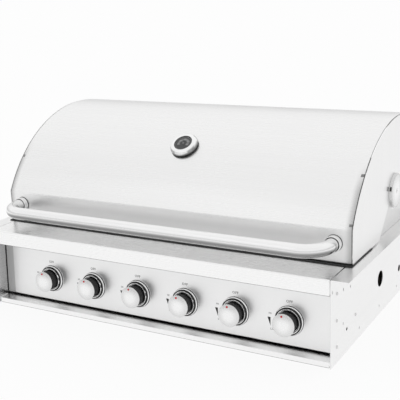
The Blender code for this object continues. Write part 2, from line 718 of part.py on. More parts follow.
def knob(name, axis):
    """Hollow knob with a broad cap, and a hub that takes the valve stem."""
    cap_foot = KNOB_REACH - KNOB_CAP_LENGTH
    hollow = KNOB_RADIUS - KNOB_WALL
    hub_foot = KNOB_STANDOFF + HUB_SETBACK
    bore = STEM_RADIUS + STEM_PLAY
    profile = [
        (0, KNOB_REACH), (KNOB_CAP_RADIUS - KNOB_EDGE, KNOB_REACH), (KNOB_CAP_RADIUS, KNOB_REACH - KNOB_EDGE),
        (KNOB_CAP_RADIUS, cap_foot + KNOB_EDGE), (KNOB_RADIUS, cap_foot), (KNOB_RADIUS, KNOB_STANDOFF),
        (hollow, KNOB_STANDOFF), (hollow, cap_foot), (HUB_RADIUS, cap_foot), (HUB_RADIUS, hub_foot),
        (bore, hub_foot), (bore, hub_foot + KNOB_BORE_DEPTH), (0, hub_foot + KNOB_BORE_DEPTH),
    ]
    body = place(turned(name, profile, FINE_STEPS), BRIGHT_STEEL, axis, in_parent=True)
    dot = (0, KNOB_CAP_RADIUS - POINTER_INSET, KNOB_REACH)
    cut(body, rods(name + "_pointer", [dot], POINTER_RADIUS, POINTER_DEPTH * 2, "Z", HOLE_STEPS))


def valve_stem(name, axis):
    """Stem that slides in the valve and turns with the knob."""
    hub_foot = KNOB_STANDOFF + HUB_SETBACK
    tip = hub_foot + KNOB_BORE_DEPTH - SEAM
    foot = -VALVE_SETBACK - VALVE_BORE_DEPTH + PUSH_TRAVEL + STEM_TIP_GAP
    profile = [(0, tip), (STEM_RADIUS, tip), (STEM_RADIUS, foot), (0, foot)]
    place(turned(name, profile, HOLE_STEPS), BRASS, axis, in_parent=True)


def valve_body(name, axis):
    """Brass valve on the gas pipe: collar against the panel, orifice in the burner's mouth."""
    front = -VALVE_SETBACK
    back = -VALVE_BACK
    low = (-VALVE_HALF_WIDTH, -VALVE_HALF_HEIGHT, back)
    body = block(name, low, (VALVE_HALF_WIDTH, VALVE_HALF_HEIGHT, front))
    body = place(body, BRASS, axis, in_parent=True)
    collar_front = -SHEET - SEAM
    collar_back = front - SHEET
    collar_centre = (0, 0, (collar_front + collar_back) / 2)
    join(body, rods(name + "_collar", [collar_centre], VALVE_COLLAR_RADIUS, collar_front - collar_back, "Z",
                    ROUND_STEPS))
    mouth = -(BURNER_MOUTH_Y - KNOB_FOOT_Y) / math.cos(PANEL_LEAN)
    nose = mouth - ORIFICE_ENTRY
    nose_centre = (0, 0, (nose + back + SHEET) / 2)
    join(body, rods(name + "_orifice", [nose_centre], ORIFICE_RADIUS, back + SHEET - nose, "Z", HOLE_STEPS))
    bore_top = collar_front + CUT_OVERRUN
    bore_foot = front - VALVE_BORE_DEPTH
    bore_centre = (0, 0, (bore_top + bore_foot) / 2)
    cut(body, rods(name + "_bore", [bore_centre], STEM_RADIUS + STEM_PLAY, bore_top - bore_foot, "Z",
                   HOLE_STEPS))


def manifold_ends():
    """Ends of the gas pipe, past the first and last valves."""
    return KNOB_XS[0] - MANIFOLD_END_MARGIN, KNOB_XS[-1] + MANIFOLD_END_MARGIN


def gas_manifold(frame):
    """Square pipe under the valves, closed at the left and open at the inlet."""
    left, right = manifold_ends()
    top = KNOB_ROW_HEIGHT - VALVE_HALF_HEIGHT - SEAM
    front = VALVE_SETBACK + (VALVE_LENGTH - MANIFOLD_SIZE) / 2
    pipe = block("gas_manifold", (left, front, top - MANIFOLD_SIZE), (right, front + MANIFOLD_SIZE, top))
    pipe = place(pipe, DULL_STEEL, frame, in_parent=True)
    wall = MANIFOLD_WALL
    cut(pipe, block("manifold_bore", (left + wall, front + wall, top - MANIFOLD_SIZE + wall),
                    (right + CUT_OVERRUN, front + MANIFOLD_SIZE - wall, top - wall)))


def gas_inlet():
    """Supply pipe from the manifold's open end back to the hole in the right side panel."""
    right = manifold_ends()[1]
    lean = Matrix.Rotation(-PANEL_LEAN, 4, "X")
    pipe_middle = Vector((0, VALVE_SETBACK + VALVE_LENGTH / 2,
                          KNOB_ROW_HEIGHT - VALVE_HALF_HEIGHT - SEAM - MANIFOLD_SIZE / 2))
    start = Vector((right + SEAM, FRONT + PANEL_SETBACK, PANEL_FOOT)) + lean @ pipe_middle
    run_x = (FIRE_HALF + INNER_HALF) / 2
    bend = arc((run_x - INLET_BEND, start.y + INLET_BEND), INLET_BEND, -math.pi / 2, 0, HANDLE_BEND_STEPS)
    coupling_radius = (INNER_HALF - FIRE_HALF) / 2 - INLET_SIDE_GAP
    end = Vector((run_x, FRONT + GAS_HOLE_SETBACK - INLET_HOLE_GAP, start.z))
    path = [tuple(start)] + [(x, y, start.z) for x, y in bend] + [tuple(end)]
    pipe = place(tube("gas_inlet", path, INLET_RADIUS, 2, capped=True), DULL_STEEL)
    nut = (start.x + INLET_NUT_LENGTH / 2, start.y, start.z)
    join(pipe, rods("inlet_nut", [nut], INLET_NUT_RADIUS, INLET_NUT_LENGTH, "X", HOLE_STEPS))
    join(pipe, rods("inlet_coupling", [tuple(end)], coupling_radius, INLET_COUPLING_LENGTH, "Y", HOLE_STEPS))


def tray_runner(name, side):
    """Angle along a side panel that the drip tray slides on."""
    outer = INNER_HALF - SEAM
    line = [(outer, RUNNER_HEIGHT), (outer, 0), (outer - RUNNER_WIDTH, 0)]
    outline = [(side * x, z) for x, z in sheet_outline(line, -RUNNER_SHEET)]
    front = FRONT + PANEL_SETBACK + PANEL_RETURN + RUNNER_CLEARANCE
    place(prism(name, [outline], front, SIDE_END - SEAM, "Y"), DULL_STEEL)


def drip_tray(slide):
    """Full-width drip tray whose folded front lip is the rail under the control panel."""
    half = INNER_HALF - SEAM - RUNNER_SHEET - TRAY_SIDE_PLAY
    floor = RUNNER_SHEET + SEAM
    front = FRONT + PANEL_SETBACK - SEAM
    back = BACK - SHEET - TRAY_REAR_MARGIN
    pan = block("drip_tray", (-half, front - TRAY_SHEET, floor), (half, back, TRAY_RIM))
    tray = place(pan, SATIN_STEEL, slide)
    hollow = block("tray_hollow", (-half + TRAY_SHEET, front, floor + TRAY_SHEET),
                   (half - TRAY_SHEET, back - TRAY_SHEET, TRAY_RIM + CUT_OVERRUN))
    lip_front = FRONT + TRAY_LIP_SETBACK
    line = [
        (front, floor), (front, TRAY_LIP_HEIGHT), (lip_front, TRAY_LIP_HEIGHT), (lip_front, TRAY_LIP_FOOT),
        (lip_front + TRAY_LIP_RETURN, TRAY_LIP_FOOT),
    ]
    lip_half = INNER_HALF - TRAY_LIP_END_GAP
    lip = prism("tray_lip", [sheet_outline(line, TRAY_SHEET)], -lip_half, lip_half, "X")
    for tool in (lip, hollow):
        tool.data.transform(Matrix.Translation(-slide.location))
    join(tray, lip)
    cut(tray, hollow)


def roll_points(inset, start_z, end_y):
    """Points up the lid's roll, inside its skin by an inset, from a height to a setback."""
    radius = LID_ROLL_RADIUS - inset
    start = math.pi - math.asin((start_z - ROLL_Z) / radius)
    end = math.acos((end_y - ROLL_Y) / radius)
    return arc((ROLL_Y, ROLL_Z), radius, start, end, ROLL_STEPS)


def lid_skin(axis):
    """Outer sheet of the lid: upright band, crease, long roll and a hem at each end."""
    roll = roll_points(0, BAND_TOP, LID_TAIL_Y)
    tail_y, tail_z = roll[-1]
    line = [(LID_FRONT + LID_HEM, LID_FOOT), (LID_FRONT, LID_FOOT)] + roll + [(tail_y, tail_z - LID_TAIL_HEM)]
    outline = sheet_outline(line, -LID_SHEET)
    skin = place(prism("lid_skin", [outline], -SKIN_HALF, SKIN_HALF, "X"), SATIN_STEEL, axis)
    smooth(skin)
    cut(skin, gauge_hole("skin_gauge_hole", axis))


def gauge_hole(name, axis):
    """Hole square to the lid's roll for the thermometer's stem."""
    hole = rods(name, [(0, 0, 0)], GAUGE_STEM_RADIUS + GAUGE_HOLE_PLAY, GAUGE_STEM_LENGTH, "Z", HOLE_STEPS)
    hole.data.transform(Matrix.Translation(-axis.location) @ gauge_frame())
    return hole


def gauge_frame():
    """Frame on the lid's roll where the thermometer stands, with Z square to the sheet."""
    y = ROLL_Y - LID_ROLL_RADIUS * math.sin(DIAL_LEAN)
    z = ROLL_Z + LID_ROLL_RADIUS * math.cos(DIAL_LEAN)
    return Matrix.Translation((GAUGE_OFFSET, y, z)) @ Matrix.Rotation(DIAL_LEAN, 4, "X")


def lid_liner(axis):
    """Inner sheet of the lid, which meets the skin along the front foot and at the tail."""
    inset = LID_SHEET + LINER_INSET
    band_y = LID_FRONT + inset
    skin_inside = LID_FRONT + LID_SHEET + SEAM
    foot = LID_FOOT + LINER_FOOT
    radius = LID_ROLL_RADIUS - inset
    crease_z = ROLL_Z + math.sqrt(radius ** 2 - (ROLL_Y - band_y) ** 2)
    end_y = LID_TAIL_Y - LINER_TAIL_INSET
    roll = roll_points(inset, crease_z, end_y)
    under_skin = ROLL_Z + math.sqrt((LID_ROLL_RADIUS - LID_SHEET - SEAM) ** 2 - (end_y - ROLL_Y) ** 2)
    tail_top = under_skin - LID_SHEET
    line = [(skin_inside, foot), (band_y, foot)] + roll + [(end_y, tail_top)]
    outline = sheet_outline(line, -LID_SHEET)
    half = LID_HALF - LINER_SIDE_INSET
    liner = place(prism("lid_liner", [outline], -half, half, "X"), DULL_STEEL, axis)
    smooth(liner)
    cut(liner, gauge_hole("liner_gauge_hole", axis))


def cap_outline():
    """Outline of the lid's end cap: under the skin's edge, cut away behind and round the hinge."""
    front = LID_FRONT + CAP_INSET
    radius = LID_ROLL_RADIUS - CAP_INSET
    crease_z = ROLL_Z + math.sqrt(radius ** 2 - (ROLL_Y - front) ** 2)
    roll = roll_points(CAP_INSET, crease_z, LID_TAIL_Y - CAP_INSET)
    tail = (LID_TAIL_Y - CAP_INSET, roll[-1][1] - CAP_TAIL_DROP)
    foot_end = (HINGE_Y - CAP_CUTAWAY_REACH, LID_FOOT)
    lobe_radius = HINGE_COVER_RADIUS + CAP_LOBE_MARGIN
    lobe = arc((HINGE_Y, HINGE_Z), lobe_radius, lobe_tangent(tail), CAP_LOBE_START, LOBE_STEPS)
    return [(front, LID_FOOT)] + roll + [tail] + lobe + [foot_end]


def lobe_tangent(point):
    """Angle on the lobe round the hinge where a straight edge from a point behind it meets it."""
    away_y = point[0] - HINGE_Y
    away_z = point[1] - HINGE_Z
    spread = math.acos((HINGE_COVER_RADIUS + CAP_LOBE_MARGIN) / math.hypot(away_y, away_z))
    return math.atan2(away_z, away_y) - spread


def lid_cap(name, side, axis):
    """End plate of the lid, pierced for the hinge pin."""
    ends = sorted((side * LID_HALF, side * (LID_HALF - CAP_SHEET)))
    cap = place(prism(name, [cap_outline()], ends[0], ends[1], "X"), SATIN_STEEL, axis)
    bore = rods(name + "_bore", [(side * LID_HALF, 0, 0)], HINGE_PIN_RADIUS + HINGE_PLAY,
                (CAP_SHEET + CUT_OVERRUN) * 2, "X", ROUND_STEPS)
    cut(cap, bore)


def hinge_pin(name, side, axis):
    """Hinge pin with the round cover that hides its head."""
    face = LID_HALF + SEAM
    crown = face + HINGE_COVER_DEPTH
    tail = COWL_HALF - SHEET - HINGE_PIN_TAIL
    screw = HINGE_COVER_SCREW_RADIUS
    profile = [
        (0, crown - HINGE_COVER_SCREW_DEPTH), (screw, crown - HINGE_COVER_SCREW_DEPTH), (screw, crown),
        (HINGE_COVER_RADIUS - HINGE_COVER_EDGE, crown), (HINGE_COVER_RADIUS, crown - HINGE_COVER_EDGE),
        (HINGE_COVER_RADIUS, face), (HINGE_PIN_RADIUS, face), (HINGE_PIN_RADIUS, tail), (0, tail),
    ]
    frame = Matrix.Rotation(side * math.pi / 2, 4, "Y")
    place(turned(name, profile, FINE_STEPS, frame), SATIN_STEEL, axis, in_parent=True)


def handle_path():
    """Centre line of the handle: out of the lid, round a bend, across and back in."""
    seat = LID_FRONT - SEAM
    grip_y = LID_FRONT - HANDLE_STANDOFF
    centre = (-HANDLE_HALF_SPAN + HANDLE_BEND, grip_y + HANDLE_BEND)
    bend = arc(centre, HANDLE_BEND, math.pi, math.pi * 1.5, HANDLE_BEND_STEPS)
    left = [(-HANDLE_HALF_SPAN, seat)] + bend
    right = [(-x, y) for x, y in reversed(left)]
    return [(x, y, HANDLE_Z) for x, y in left + right]


def handle_tube(axis):
    """Bent tube handle, hollow, with both ends against the lid's band."""
    grip = tube("handle_tube", handle_path(), HANDLE_TUBE_RADIUS, 4, capped=False)
    grip = place(grip, BRIGHT_STEEL, axis)
    wall = grip.modifiers.new("Wall", "SOLIDIFY")
    wall.thickness = HANDLE_TUBE_WALL
    wall.offset = -1


def handle_collar(name, side, axis):
    """Collar round the handle's end where it meets the lid."""
    bore = HANDLE_TUBE_RADIUS + SEAM
    outer = bore + COLLAR_WALL
    profile = [
        (outer, SEAM), (bore, SEAM), (bore, COLLAR_LENGTH), (outer - COLLAR_EDGE, COLLAR_LENGTH),
        (outer, COLLAR_LENGTH - COLLAR_EDGE),
    ]
    seat = Matrix.Translation((side * HANDLE_HALF_SPAN, LID_FRONT, HANDLE_Z))
    frame = seat @ Matrix.Rotation(math.pi / 2, 4, "X")
    place(turned(name, profile, FINE_STEPS, frame, ring=True), CHROME, axis)


def thermometer(axis):
    """Domed thermometer housing with its probe through the lid, and the dial in its recess."""
    recess_floor = GAUGE_HEIGHT - DIAL_RECESS
    wall = DIAL_RADIUS + SEAM
    profile = [
        (0, recess_floor), (wall, recess_floor), (wall, GAUGE_HEIGHT), (GAUGE_FACE_RADIUS, GAUGE_HEIGHT),
        (GAUGE_RADIUS, GAUGE_FOOT_HEIGHT), (GAUGE_RADIUS, SEAM), (GAUGE_STEM_RADIUS, SEAM),
        (GAUGE_STEM_RADIUS, -GAUGE_STEM_LENGTH), (0, -GAUGE_STEM_LENGTH),
    ]
    place(turned("thermometer_housing", profile, FINE_STEPS, gauge_frame()), CHROME, axis)
    foot = recess_floor + SEAM
    face = foot + DIAL_THICKNESS
    dial = [
        (0, face + DIAL_HUB_HEIGHT), (DIAL_HUB_RADIUS, face + DIAL_HUB_HEIGHT), (DIAL_HUB_RADIUS, face),
        (DIAL_RADIUS, face), (DIAL_RADIUS, foot), (0, foot),
    ]
    place(turned("thermometer_dial", dial, FINE_STEPS, gauge_frame()), DIAL_BLACK, axis)


def build_box():
    """Sheet metal box and the fixed cowl."""
    side_panel("side_panel_left", -1)
    side_panel("side_panel_right", 1)
    rear_panel()
    top_ledge()
    firebox()
    rear_cowl()


def build_gas_line():
    """Control panel with its knobs, valves, gas pipe and burners."""
    frame = add_empty("panel_frame", (0, FRONT + PANEL_SETBACK, PANEL_FOOT), (-PANEL_LEAN, 0, 0))
    control_panel(frame)
    gas_manifold(frame)
    gas_inlet()
    for number, x in enumerate(KNOB_XS, start=1):
        seat = add_empty(f"knob_axis_{number}", (x, 0, KNOB_ROW_HEIGHT), (math.pi / 2, 0, 0), frame)
        bezel(f"knob_bezel_{number}", seat)
        knob(f"knob_{number}", seat)
        valve_stem(f"valve_stem_{number}", seat)
        valve_body(f"valve_body_{number}", seat)
        burner(f"burner_{number}", x)


def build_cooking_space():
    """Tamers, grates, warming rack and the drip tray under them."""
    for index in range(BURNER_COUNT // 2):
        flame_tamer(f"flame_tamer_{index + 1}", index)
    for index in range(GRATE_COUNT):
        cooking_grate(f"cooking_grate_{index + 1}", index)
    warming_rack()
    tray_runner("tray_runner_left", -1)
    tray_runner("tray_runner_right", 1)
    drip_tray(add_empty("tray_slide", (0, FRONT, RUNNER_SHEET)))


def build_lid():
    """Lid with its liner, caps, handle and thermometer, hung on the hinge axis."""
    axis = add_empty("lid_axis", (0, HINGE_Y, HINGE_Z))
    lid_skin(axis)
    lid_liner(axis)
    for word, side in (("left", -1), ("right", 1)):
        lid_cap(f"lid_cap_{word}", side, axis)
        hinge_pin(f"hinge_pin_{word}", side, axis)
        handle_collar(f"handle_collar_{word}", side, axis)
    handle_tube(axis)
    thermometer(axis)


clear_scene()
PARTS = add_collection("built_in_gas_grill")
CUTTERS = add_collection("cutters")
build_box()
build_gas_line()
build_cooking_space()
build_lid()
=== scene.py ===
"""Looks of the built-in gas grill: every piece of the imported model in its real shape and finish.

Metres, in the model's frame: +Z up, front towards -Y, +X to the right of someone at the knobs.
"""
import json
import math

import bmesh
import bpy
from mathutils import Matrix, Vector

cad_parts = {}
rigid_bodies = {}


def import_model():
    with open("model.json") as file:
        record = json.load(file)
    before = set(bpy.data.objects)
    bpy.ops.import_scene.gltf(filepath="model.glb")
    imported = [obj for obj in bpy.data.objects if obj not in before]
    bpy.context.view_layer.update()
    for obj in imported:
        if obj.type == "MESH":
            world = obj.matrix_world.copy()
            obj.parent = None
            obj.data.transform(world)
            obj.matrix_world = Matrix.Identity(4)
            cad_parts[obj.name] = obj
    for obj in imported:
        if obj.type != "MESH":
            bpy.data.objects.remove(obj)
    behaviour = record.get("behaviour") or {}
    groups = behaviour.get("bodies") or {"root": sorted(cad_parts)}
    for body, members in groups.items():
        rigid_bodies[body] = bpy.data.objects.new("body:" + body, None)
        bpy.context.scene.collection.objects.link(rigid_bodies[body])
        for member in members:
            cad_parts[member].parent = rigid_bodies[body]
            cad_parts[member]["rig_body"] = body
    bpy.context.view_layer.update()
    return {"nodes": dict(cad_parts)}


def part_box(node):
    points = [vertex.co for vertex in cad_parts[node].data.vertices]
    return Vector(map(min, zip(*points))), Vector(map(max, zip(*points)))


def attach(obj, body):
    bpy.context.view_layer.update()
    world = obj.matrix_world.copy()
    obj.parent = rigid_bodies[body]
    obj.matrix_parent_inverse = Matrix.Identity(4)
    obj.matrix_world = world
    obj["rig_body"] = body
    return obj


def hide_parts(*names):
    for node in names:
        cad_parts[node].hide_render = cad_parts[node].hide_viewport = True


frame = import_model()

# Side panels
# Two sheets of stainless steel, brushed from front to back, with the top edge bent out over the counter.
# They are punched for the gas pipe and the cable, and small cross-head screws hold the box to them.
SHEET = 0.0015
SHEET_BEND = 0.0012
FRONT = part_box("side_panel_right")[0].y
INNER_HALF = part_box("side_panel_right")[0].x
SIDE_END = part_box("side_panel_right")[1].y
FLANGE_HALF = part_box("side_panel_right")[1].x
DECK_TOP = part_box("side_panel_right")[1].z
BOX_HALF = INNER_HALF + SHEET
CLEAR = 0.0003
EDGE = 0.0003
BACK = SIDE_END + SHEET + CLEAR
PUNCH_REACH = 0.012
ROUND_HOLES = ((0.339, 0.0925, 0.020), (0.499, 0.067, 0.009), (0.100, 0.055, 0.004))
SLOT_SIZE = (0.0028, 0.0070)
SLOT_SHARES = (
    (0.018, 0.848), (0.144, 0.764), (0.226, 0.725), (0.141, 0.377),
    (0.342, 0.115), (0.618, 0.108), (0.889, 0.111),
)
SCREW_PLACES = ((0.0374, 0.1616), (0.0361, 0.0997), (0.0372, 0.0376), (0.158, 0.0674))
SCREW_HEAD = 0.0039
SCREW_RISE = 0.0022
SCREW_RIM_SHARE = 0.35
SCREW_SINK = 0.0005
CROSS_REACH = 0.0019
CROSS_HALF = 0.00035
CROSS_FLOOR = 0.0012
CROSS_OPEN = 0.0030
SIDES = (("left", -1), ("right", 1))
WELD = 0.00002
ALONG = {
    "X": Matrix(((0, 0, 1, 0), (1, 0, 0, 0), (0, 1, 0, 0), (0, 0, 0, 1))),
    "Y": Matrix(((1, 0, 0, 0), (0, 0, 1, 0), (0, 1, 0, 0), (0, 0, 0, 1))),
    "Z": Matrix.Identity(4),
}


class Value:
    """What one socket gives; plain arithmetic on it adds Math nodes."""

    def __init__(self, recipe, socket):
        self.recipe = recipe
        self.socket = socket

    def maths(self, operation, *numbers):
        """What a Math node makes of some numbers."""
        return self.recipe.node("ShaderNodeMath", dict(enumerate(numbers)), operation=operation)

    def at_least(self, other):
        """The greater of two numbers."""
        return self.maths("MAXIMUM", self, other)

    def at_most(self, other):
        """The smaller of two numbers."""
        return self.maths("MINIMUM", self, other)

    def __add__(self, other):
        return self.maths("ADD", self, other)

    def __sub__(self, other):
        return self.maths("SUBTRACT", self, other)

    def __rsub__(self, other):
        return self.maths("SUBTRACT", other, self)

    def __mul__(self, other):
        return self.maths("MULTIPLY", self, other)

    def __truediv__(self, other):
        return self.maths("DIVIDE", self, other)

    def __pow__(self, other):
        return self.maths("POWER", self, other)

    def __mod__(self, other):
        return self.maths("FLOORED_MODULO", self, other)

    def __gt__(self, other):
        return self.maths("GREATER_THAN", self, other)

    def __lt__(self, other):
        return self.maths("LESS_THAN", self, other)

    def __neg__(self):
        return self.maths("MULTIPLY", self, -1)

    def __abs__(self):
        return self.maths("ABSOLUTE", self)

    __radd__ = __add__
    __rmul__ = __mul__


class Recipe:
    """Node tree of a finish or of a shape, filled by one call for each node."""

    def __init__(self, tree):
        self.tree = tree

    def node(self, kind, sockets=None, output=0, stops=None, **settings):
        """Add a node: its settings first, then the values or links of its sockets."""
        made = self.tree.nodes.new(kind)
        for setting, choice in settings.items():
            setattr(made, setting, choice)
        for i, (place, shade) in enumerate(stops or ()):
            stop = made.color_ramp.elements[i] if i < 2 else made.color_ramp.elements.new(place)
            stop.position = place
            stop.color = shade
        for key, given in (sockets or {}).items():
            if isinstance(given, Value):
                self.tree.links.new(given.socket, made.inputs[key])
            else:
                made.inputs[key].default_value = given
        return Value(self, made.outputs[output])


class Finish(Recipe):
    """Material of one kind of surface, on the Principled shader."""

    def __init__(self, name):
        self.material = bpy.data.materials.new(name)
        self.material.use_nodes = True
        super().__init__(self.material.node_tree)
        self.place = self.node("ShaderNodeTexCoord", output="Object")

    def noise(self, waves, detail=2.0):
        """Noise between 0 and 1, with so many waves to the metre, or a number for each of X, Y and Z."""
        waves = waves if isinstance(waves, list) else [waves] * 3
        stretched = self.node("ShaderNodeVectorMath", {0: self.place, 1: waves}, operation="MULTIPLY")
        return self.node("ShaderNodeTexNoise", {"Vector": stretched, "Scale": 1.0, "Detail": detail})

    def blend(self, share, first, second):
        """Colour between two others."""
        return self.node("ShaderNodeMix", {0: share, 6: first, 7: second}, output=2, data_type="RGBA")

    def along(self, axis):
        """Place along one axis, in metres."""
        return self.node("ShaderNodeSeparateXYZ", {0: self.place}, output="XYZ".index(axis))

    def rising(self, value, start, end):
        """Share that climbs smoothly from 0 to 1 as a value goes from a start to an end."""
        return self.node("ShaderNodeMapRange", {0: value, 1: start, 2: end}, interpolation_type="SMOOTHSTEP")

    def bump(self, height, depth):
        """Surface raised by a height between 0 and 1 times a depth in metres."""
        return self.node("ShaderNodeBump", {"Height": height, "Distance": depth})

    def shade(self, sockets):
        """Set or link the shader's sockets, and give the finished material."""
        shader = self.tree.nodes["Principled BSDF"]
        for key, given in sockets.items():
            if isinstance(given, Value):
                self.tree.links.new(given.socket, shader.inputs[key])
            else:
                shader.inputs[key].default_value = given
        return self.material


def grey(level, warmth=0.0):
    """Colour of a grey, a little warmer or colder."""
    return (level + warmth, level, level - warmth, 1.0)


def brushed_steel(name, level, roughness, grain, dirt_and_shade=None, dulled=None):
    """Stainless steel ground along one axis: fine lines, longer streaks and faint handling marks.

    Dirt_and_shade gives the share and the shade of darker places, both soiling and painted shade, and dulled
    gives extra roughness.
    """
    steel = Finish(name)
    lines = steel.noise([5 if axis == grain else 900 for axis in "XYZ"], detail=3.0)
    streaks = steel.noise([1.6 if axis == grain else 85 for axis in "XYZ"])
    marks = steel.noise(7, detail=4.0)
    tone = lines * 0.45 + streaks * 0.35 + marks * 0.2
    colour = steel.blend(tone, grey(level * 0.95, 0.002), grey(min(level * 1.04, 0.97)))
    if dirt_and_shade:
        share, shade = dirt_and_shade(steel)
        colour = steel.blend(share, colour, grey(shade))
    haze = dulled(steel) + roughness if dulled else roughness
    return steel.shade({
        "Base Color": colour,
        "Metallic": 1.0,
        "Roughness": (lines - 0.5) * 0.10 + (marks - 0.5) * 0.12 + haze,
        "Normal": steel.bump(lines * 0.7 + streaks * 0.3, depth=0.000012),
    })


def turning(before, after):
    """Angle from one direction to the next in a plane, positive to the left."""
    return math.atan2(before.x * after.y - before.y * after.x, before.dot(after))


def rounded(corners, closed=False, steps=6):
    """Points along a run of (x, y, radius) corners, with an arc at each that has a radius."""
    ends = () if closed else (0, len(corners) - 1)
    points = []
    for i, (x, y, radius) in enumerate(corners):
        here = Vector((x, y))
        if i in ends or not radius:
            points.append(here)
            continue
        before = (here - Vector(corners[i - 1][:2])).normalized()
        after = (Vector(corners[(i + 1) % len(corners)][:2]) - here).normalized()
        turn = turning(before, after)
        inward = Vector((-before.y, before.x)) * math.copysign(radius, turn)
        centre = here - before * (radius * math.tan(abs(turn) / 2)) + inward
        points += [centre - Matrix.Rotation(turn * s / steps, 2) @ inward for s in range(steps + 1)]
    return points


def moved_left(points, distance):
    """The same open run of points, moved to its left."""
    moved = []
    for i, here in enumerate(points):
        before = (here - points[i - 1]).normalized() if i else None
        after = (points[i + 1] - here).normalized() if i < len(points) - 1 else before
        before = before or after
        left = (Vector((-before.y, before.x)) + Vector((-after.y, after.x))) / 2
        moved.append(here + left * (distance / left.length_squared))
    return moved


def piece_from(name, build):
    """Piece of the scene from a closed mesh, with its faces turned outwards."""
    bmesh.ops.recalc_face_normals(build, faces=build.faces)
    mesh = bpy.data.meshes.new(name)
    build.to_mesh(mesh)
    build.free()
    piece = bpy.data.objects.new(name, mesh)
    bpy.context.collection.objects.link(piece)
    return piece


def settled(piece):
    """Work a piece's modifiers into its mesh."""
    graph = bpy.context.evaluated_depsgraph_get()
    piece.data = bpy.data.meshes.new_from_object(piece.evaluated_get(graph), depsgraph=graph)
    piece.modifiers.clear()
    return piece


def evened(piece, angle=35):
    """Shade a piece smooth between its sharp edges, with its broad faces kept flat."""
    piece.data.shade_smooth()
    piece.data.set_sharp_from_angle(angle=math.radians(angle))
    shading = piece.modifiers.new("Shading", "WEIGHTED_NORMAL")
    shading.keep_sharp = True
    return settled(piece)


def softened(piece, edge, angle=40):
    """Round off a piece's sharp edges by a small radius."""
    bevel = piece.modifiers.new("Edge", "BEVEL")
    bevel.width = edge
    bevel.segments = 2
    bevel.limit_method = "ANGLE"
    bevel.angle_limit = math.radians(angle)
    return evened(settled(piece))


def folded(name, line, thickness, bend, low, high, axis):
    """Sheet bent along a line, on its left or, for a negative thickness, on its right."""
    corners = []
    for i, place in enumerate(line):
        radius = 0
        if 0 < i < len(line) - 1:
            here = Vector(place)
            turn = turning(here - Vector(line[i - 1]), Vector(line[i + 1]) - here)
            radius = bend + (abs(thickness) if turn * thickness > 0 else 0)
        corners.append((*place, radius))
    face = rounded(corners)
    outline = face + moved_left(face, thickness)[::-1]
    build = bmesh.new()
    rings = [[build.verts.new(ALONG[axis] @ Vector((*point, end))) for point in outline]
             for end in (low, high)]
    for i in range(len(outline)):
        build.faces.new((rings[0][i - 1], rings[0][i], rings[1][i], rings[1][i - 1]))
    for ring in rings:
        for i in range(len(face) - 1):
            build.faces.new((ring[i], ring[i + 1], ring[-2 - i], ring[-1 - i]))
    return piece_from(name, build)


def drawn(name, outlines, low, high, axis):
    """Flat outline, with any holes after it, drawn out between two places on an axis."""
    curve = bpy.data.curves.new(name, "CURVE")
    curve.dimensions = "2D"
    curve.fill_mode = "BOTH"
    curve.extrude = (high - low) / 2
    for outline in outlines:
        spline = curve.splines.new("POLY")
        spline.points.add(len(outline) - 1)
        for point, place in zip(spline.points, outline):
            point.co = (*place, 0, 1)
        spline.use_cyclic_u = True
    return from_curve(name, curve, ALONG[axis] @ Matrix.Translation((0, 0, (low + high) / 2)))


def from_curve(name, curve, place):
    """Closed mesh from a curve or a word, put in its place."""
    shape = bpy.data.objects.new(name, curve)
    bpy.context.collection.objects.link(shape)
    graph = bpy.context.evaluated_depsgraph_get()
    build = bmesh.new()
    mesh = bpy.data.meshes.new_from_object(shape.evaluated_get(graph))
    build.from_mesh(mesh)
    bmesh.ops.remove_doubles(build, verts=build.verts, dist=WELD / 4)
    bmesh.ops.transform(build, matrix=place, verts=build.verts)
    bpy.data.objects.remove(shape)
    return piece_from(name, build)


def ring_line(centre, radius, steps=48):
    """Points round a circle in a plane."""
    return [(centre[0] + radius * math.cos(math.tau * i / steps),
             centre[1] + radius * math.sin(math.tau * i / steps)) for i in range(steps)]


def turned(name, profile, place=Matrix.Identity(4), ring=False, steps=96):
    """Profile of (radius, height) points turned about the Z axis; the attribute "out" keeps each radius."""
    build = bmesh.new()
    dots = [build.verts.new((radius, 0, height)) for radius, height in profile]
    pairs = list(zip(dots, dots[1:])) + ([(dots[-1], dots[0])] if ring else [])
    lines = [build.edges.new(pair) for pair in pairs]
    bmesh.ops.spin(build, geom=dots + lines, cent=(0, 0, 0), axis=(0, 0, 1), angle=math.tau, steps=steps)
    bmesh.ops.remove_doubles(build, verts=build.verts, dist=WELD)
    out = build.verts.layers.float.new("out")
    for vert in build.verts:
        vert[out] = vert.co.xy.length
    bmesh.ops.transform(build, matrix=place, verts=build.verts)
    return evened(piece_from(name, build))


def pierced(piece, *punches):
    """Cut a piece with punches, which are used up."""
    for punch in punches:
        cut = piece.modifiers.new(punch.name, "BOOLEAN")
        cut.solver = "EXACT"
        cut.object = punch
    settled(piece)
    for punch in punches:
        bpy.data.objects.remove(punch)
    return piece


def gathered(name, *pieces):
    """Several pieces made into one mesh."""
    build = bmesh.new()
    for piece in pieces:
        build.from_mesh(piece.data)
        bpy.data.objects.remove(piece)
    return piece_from(name, build)


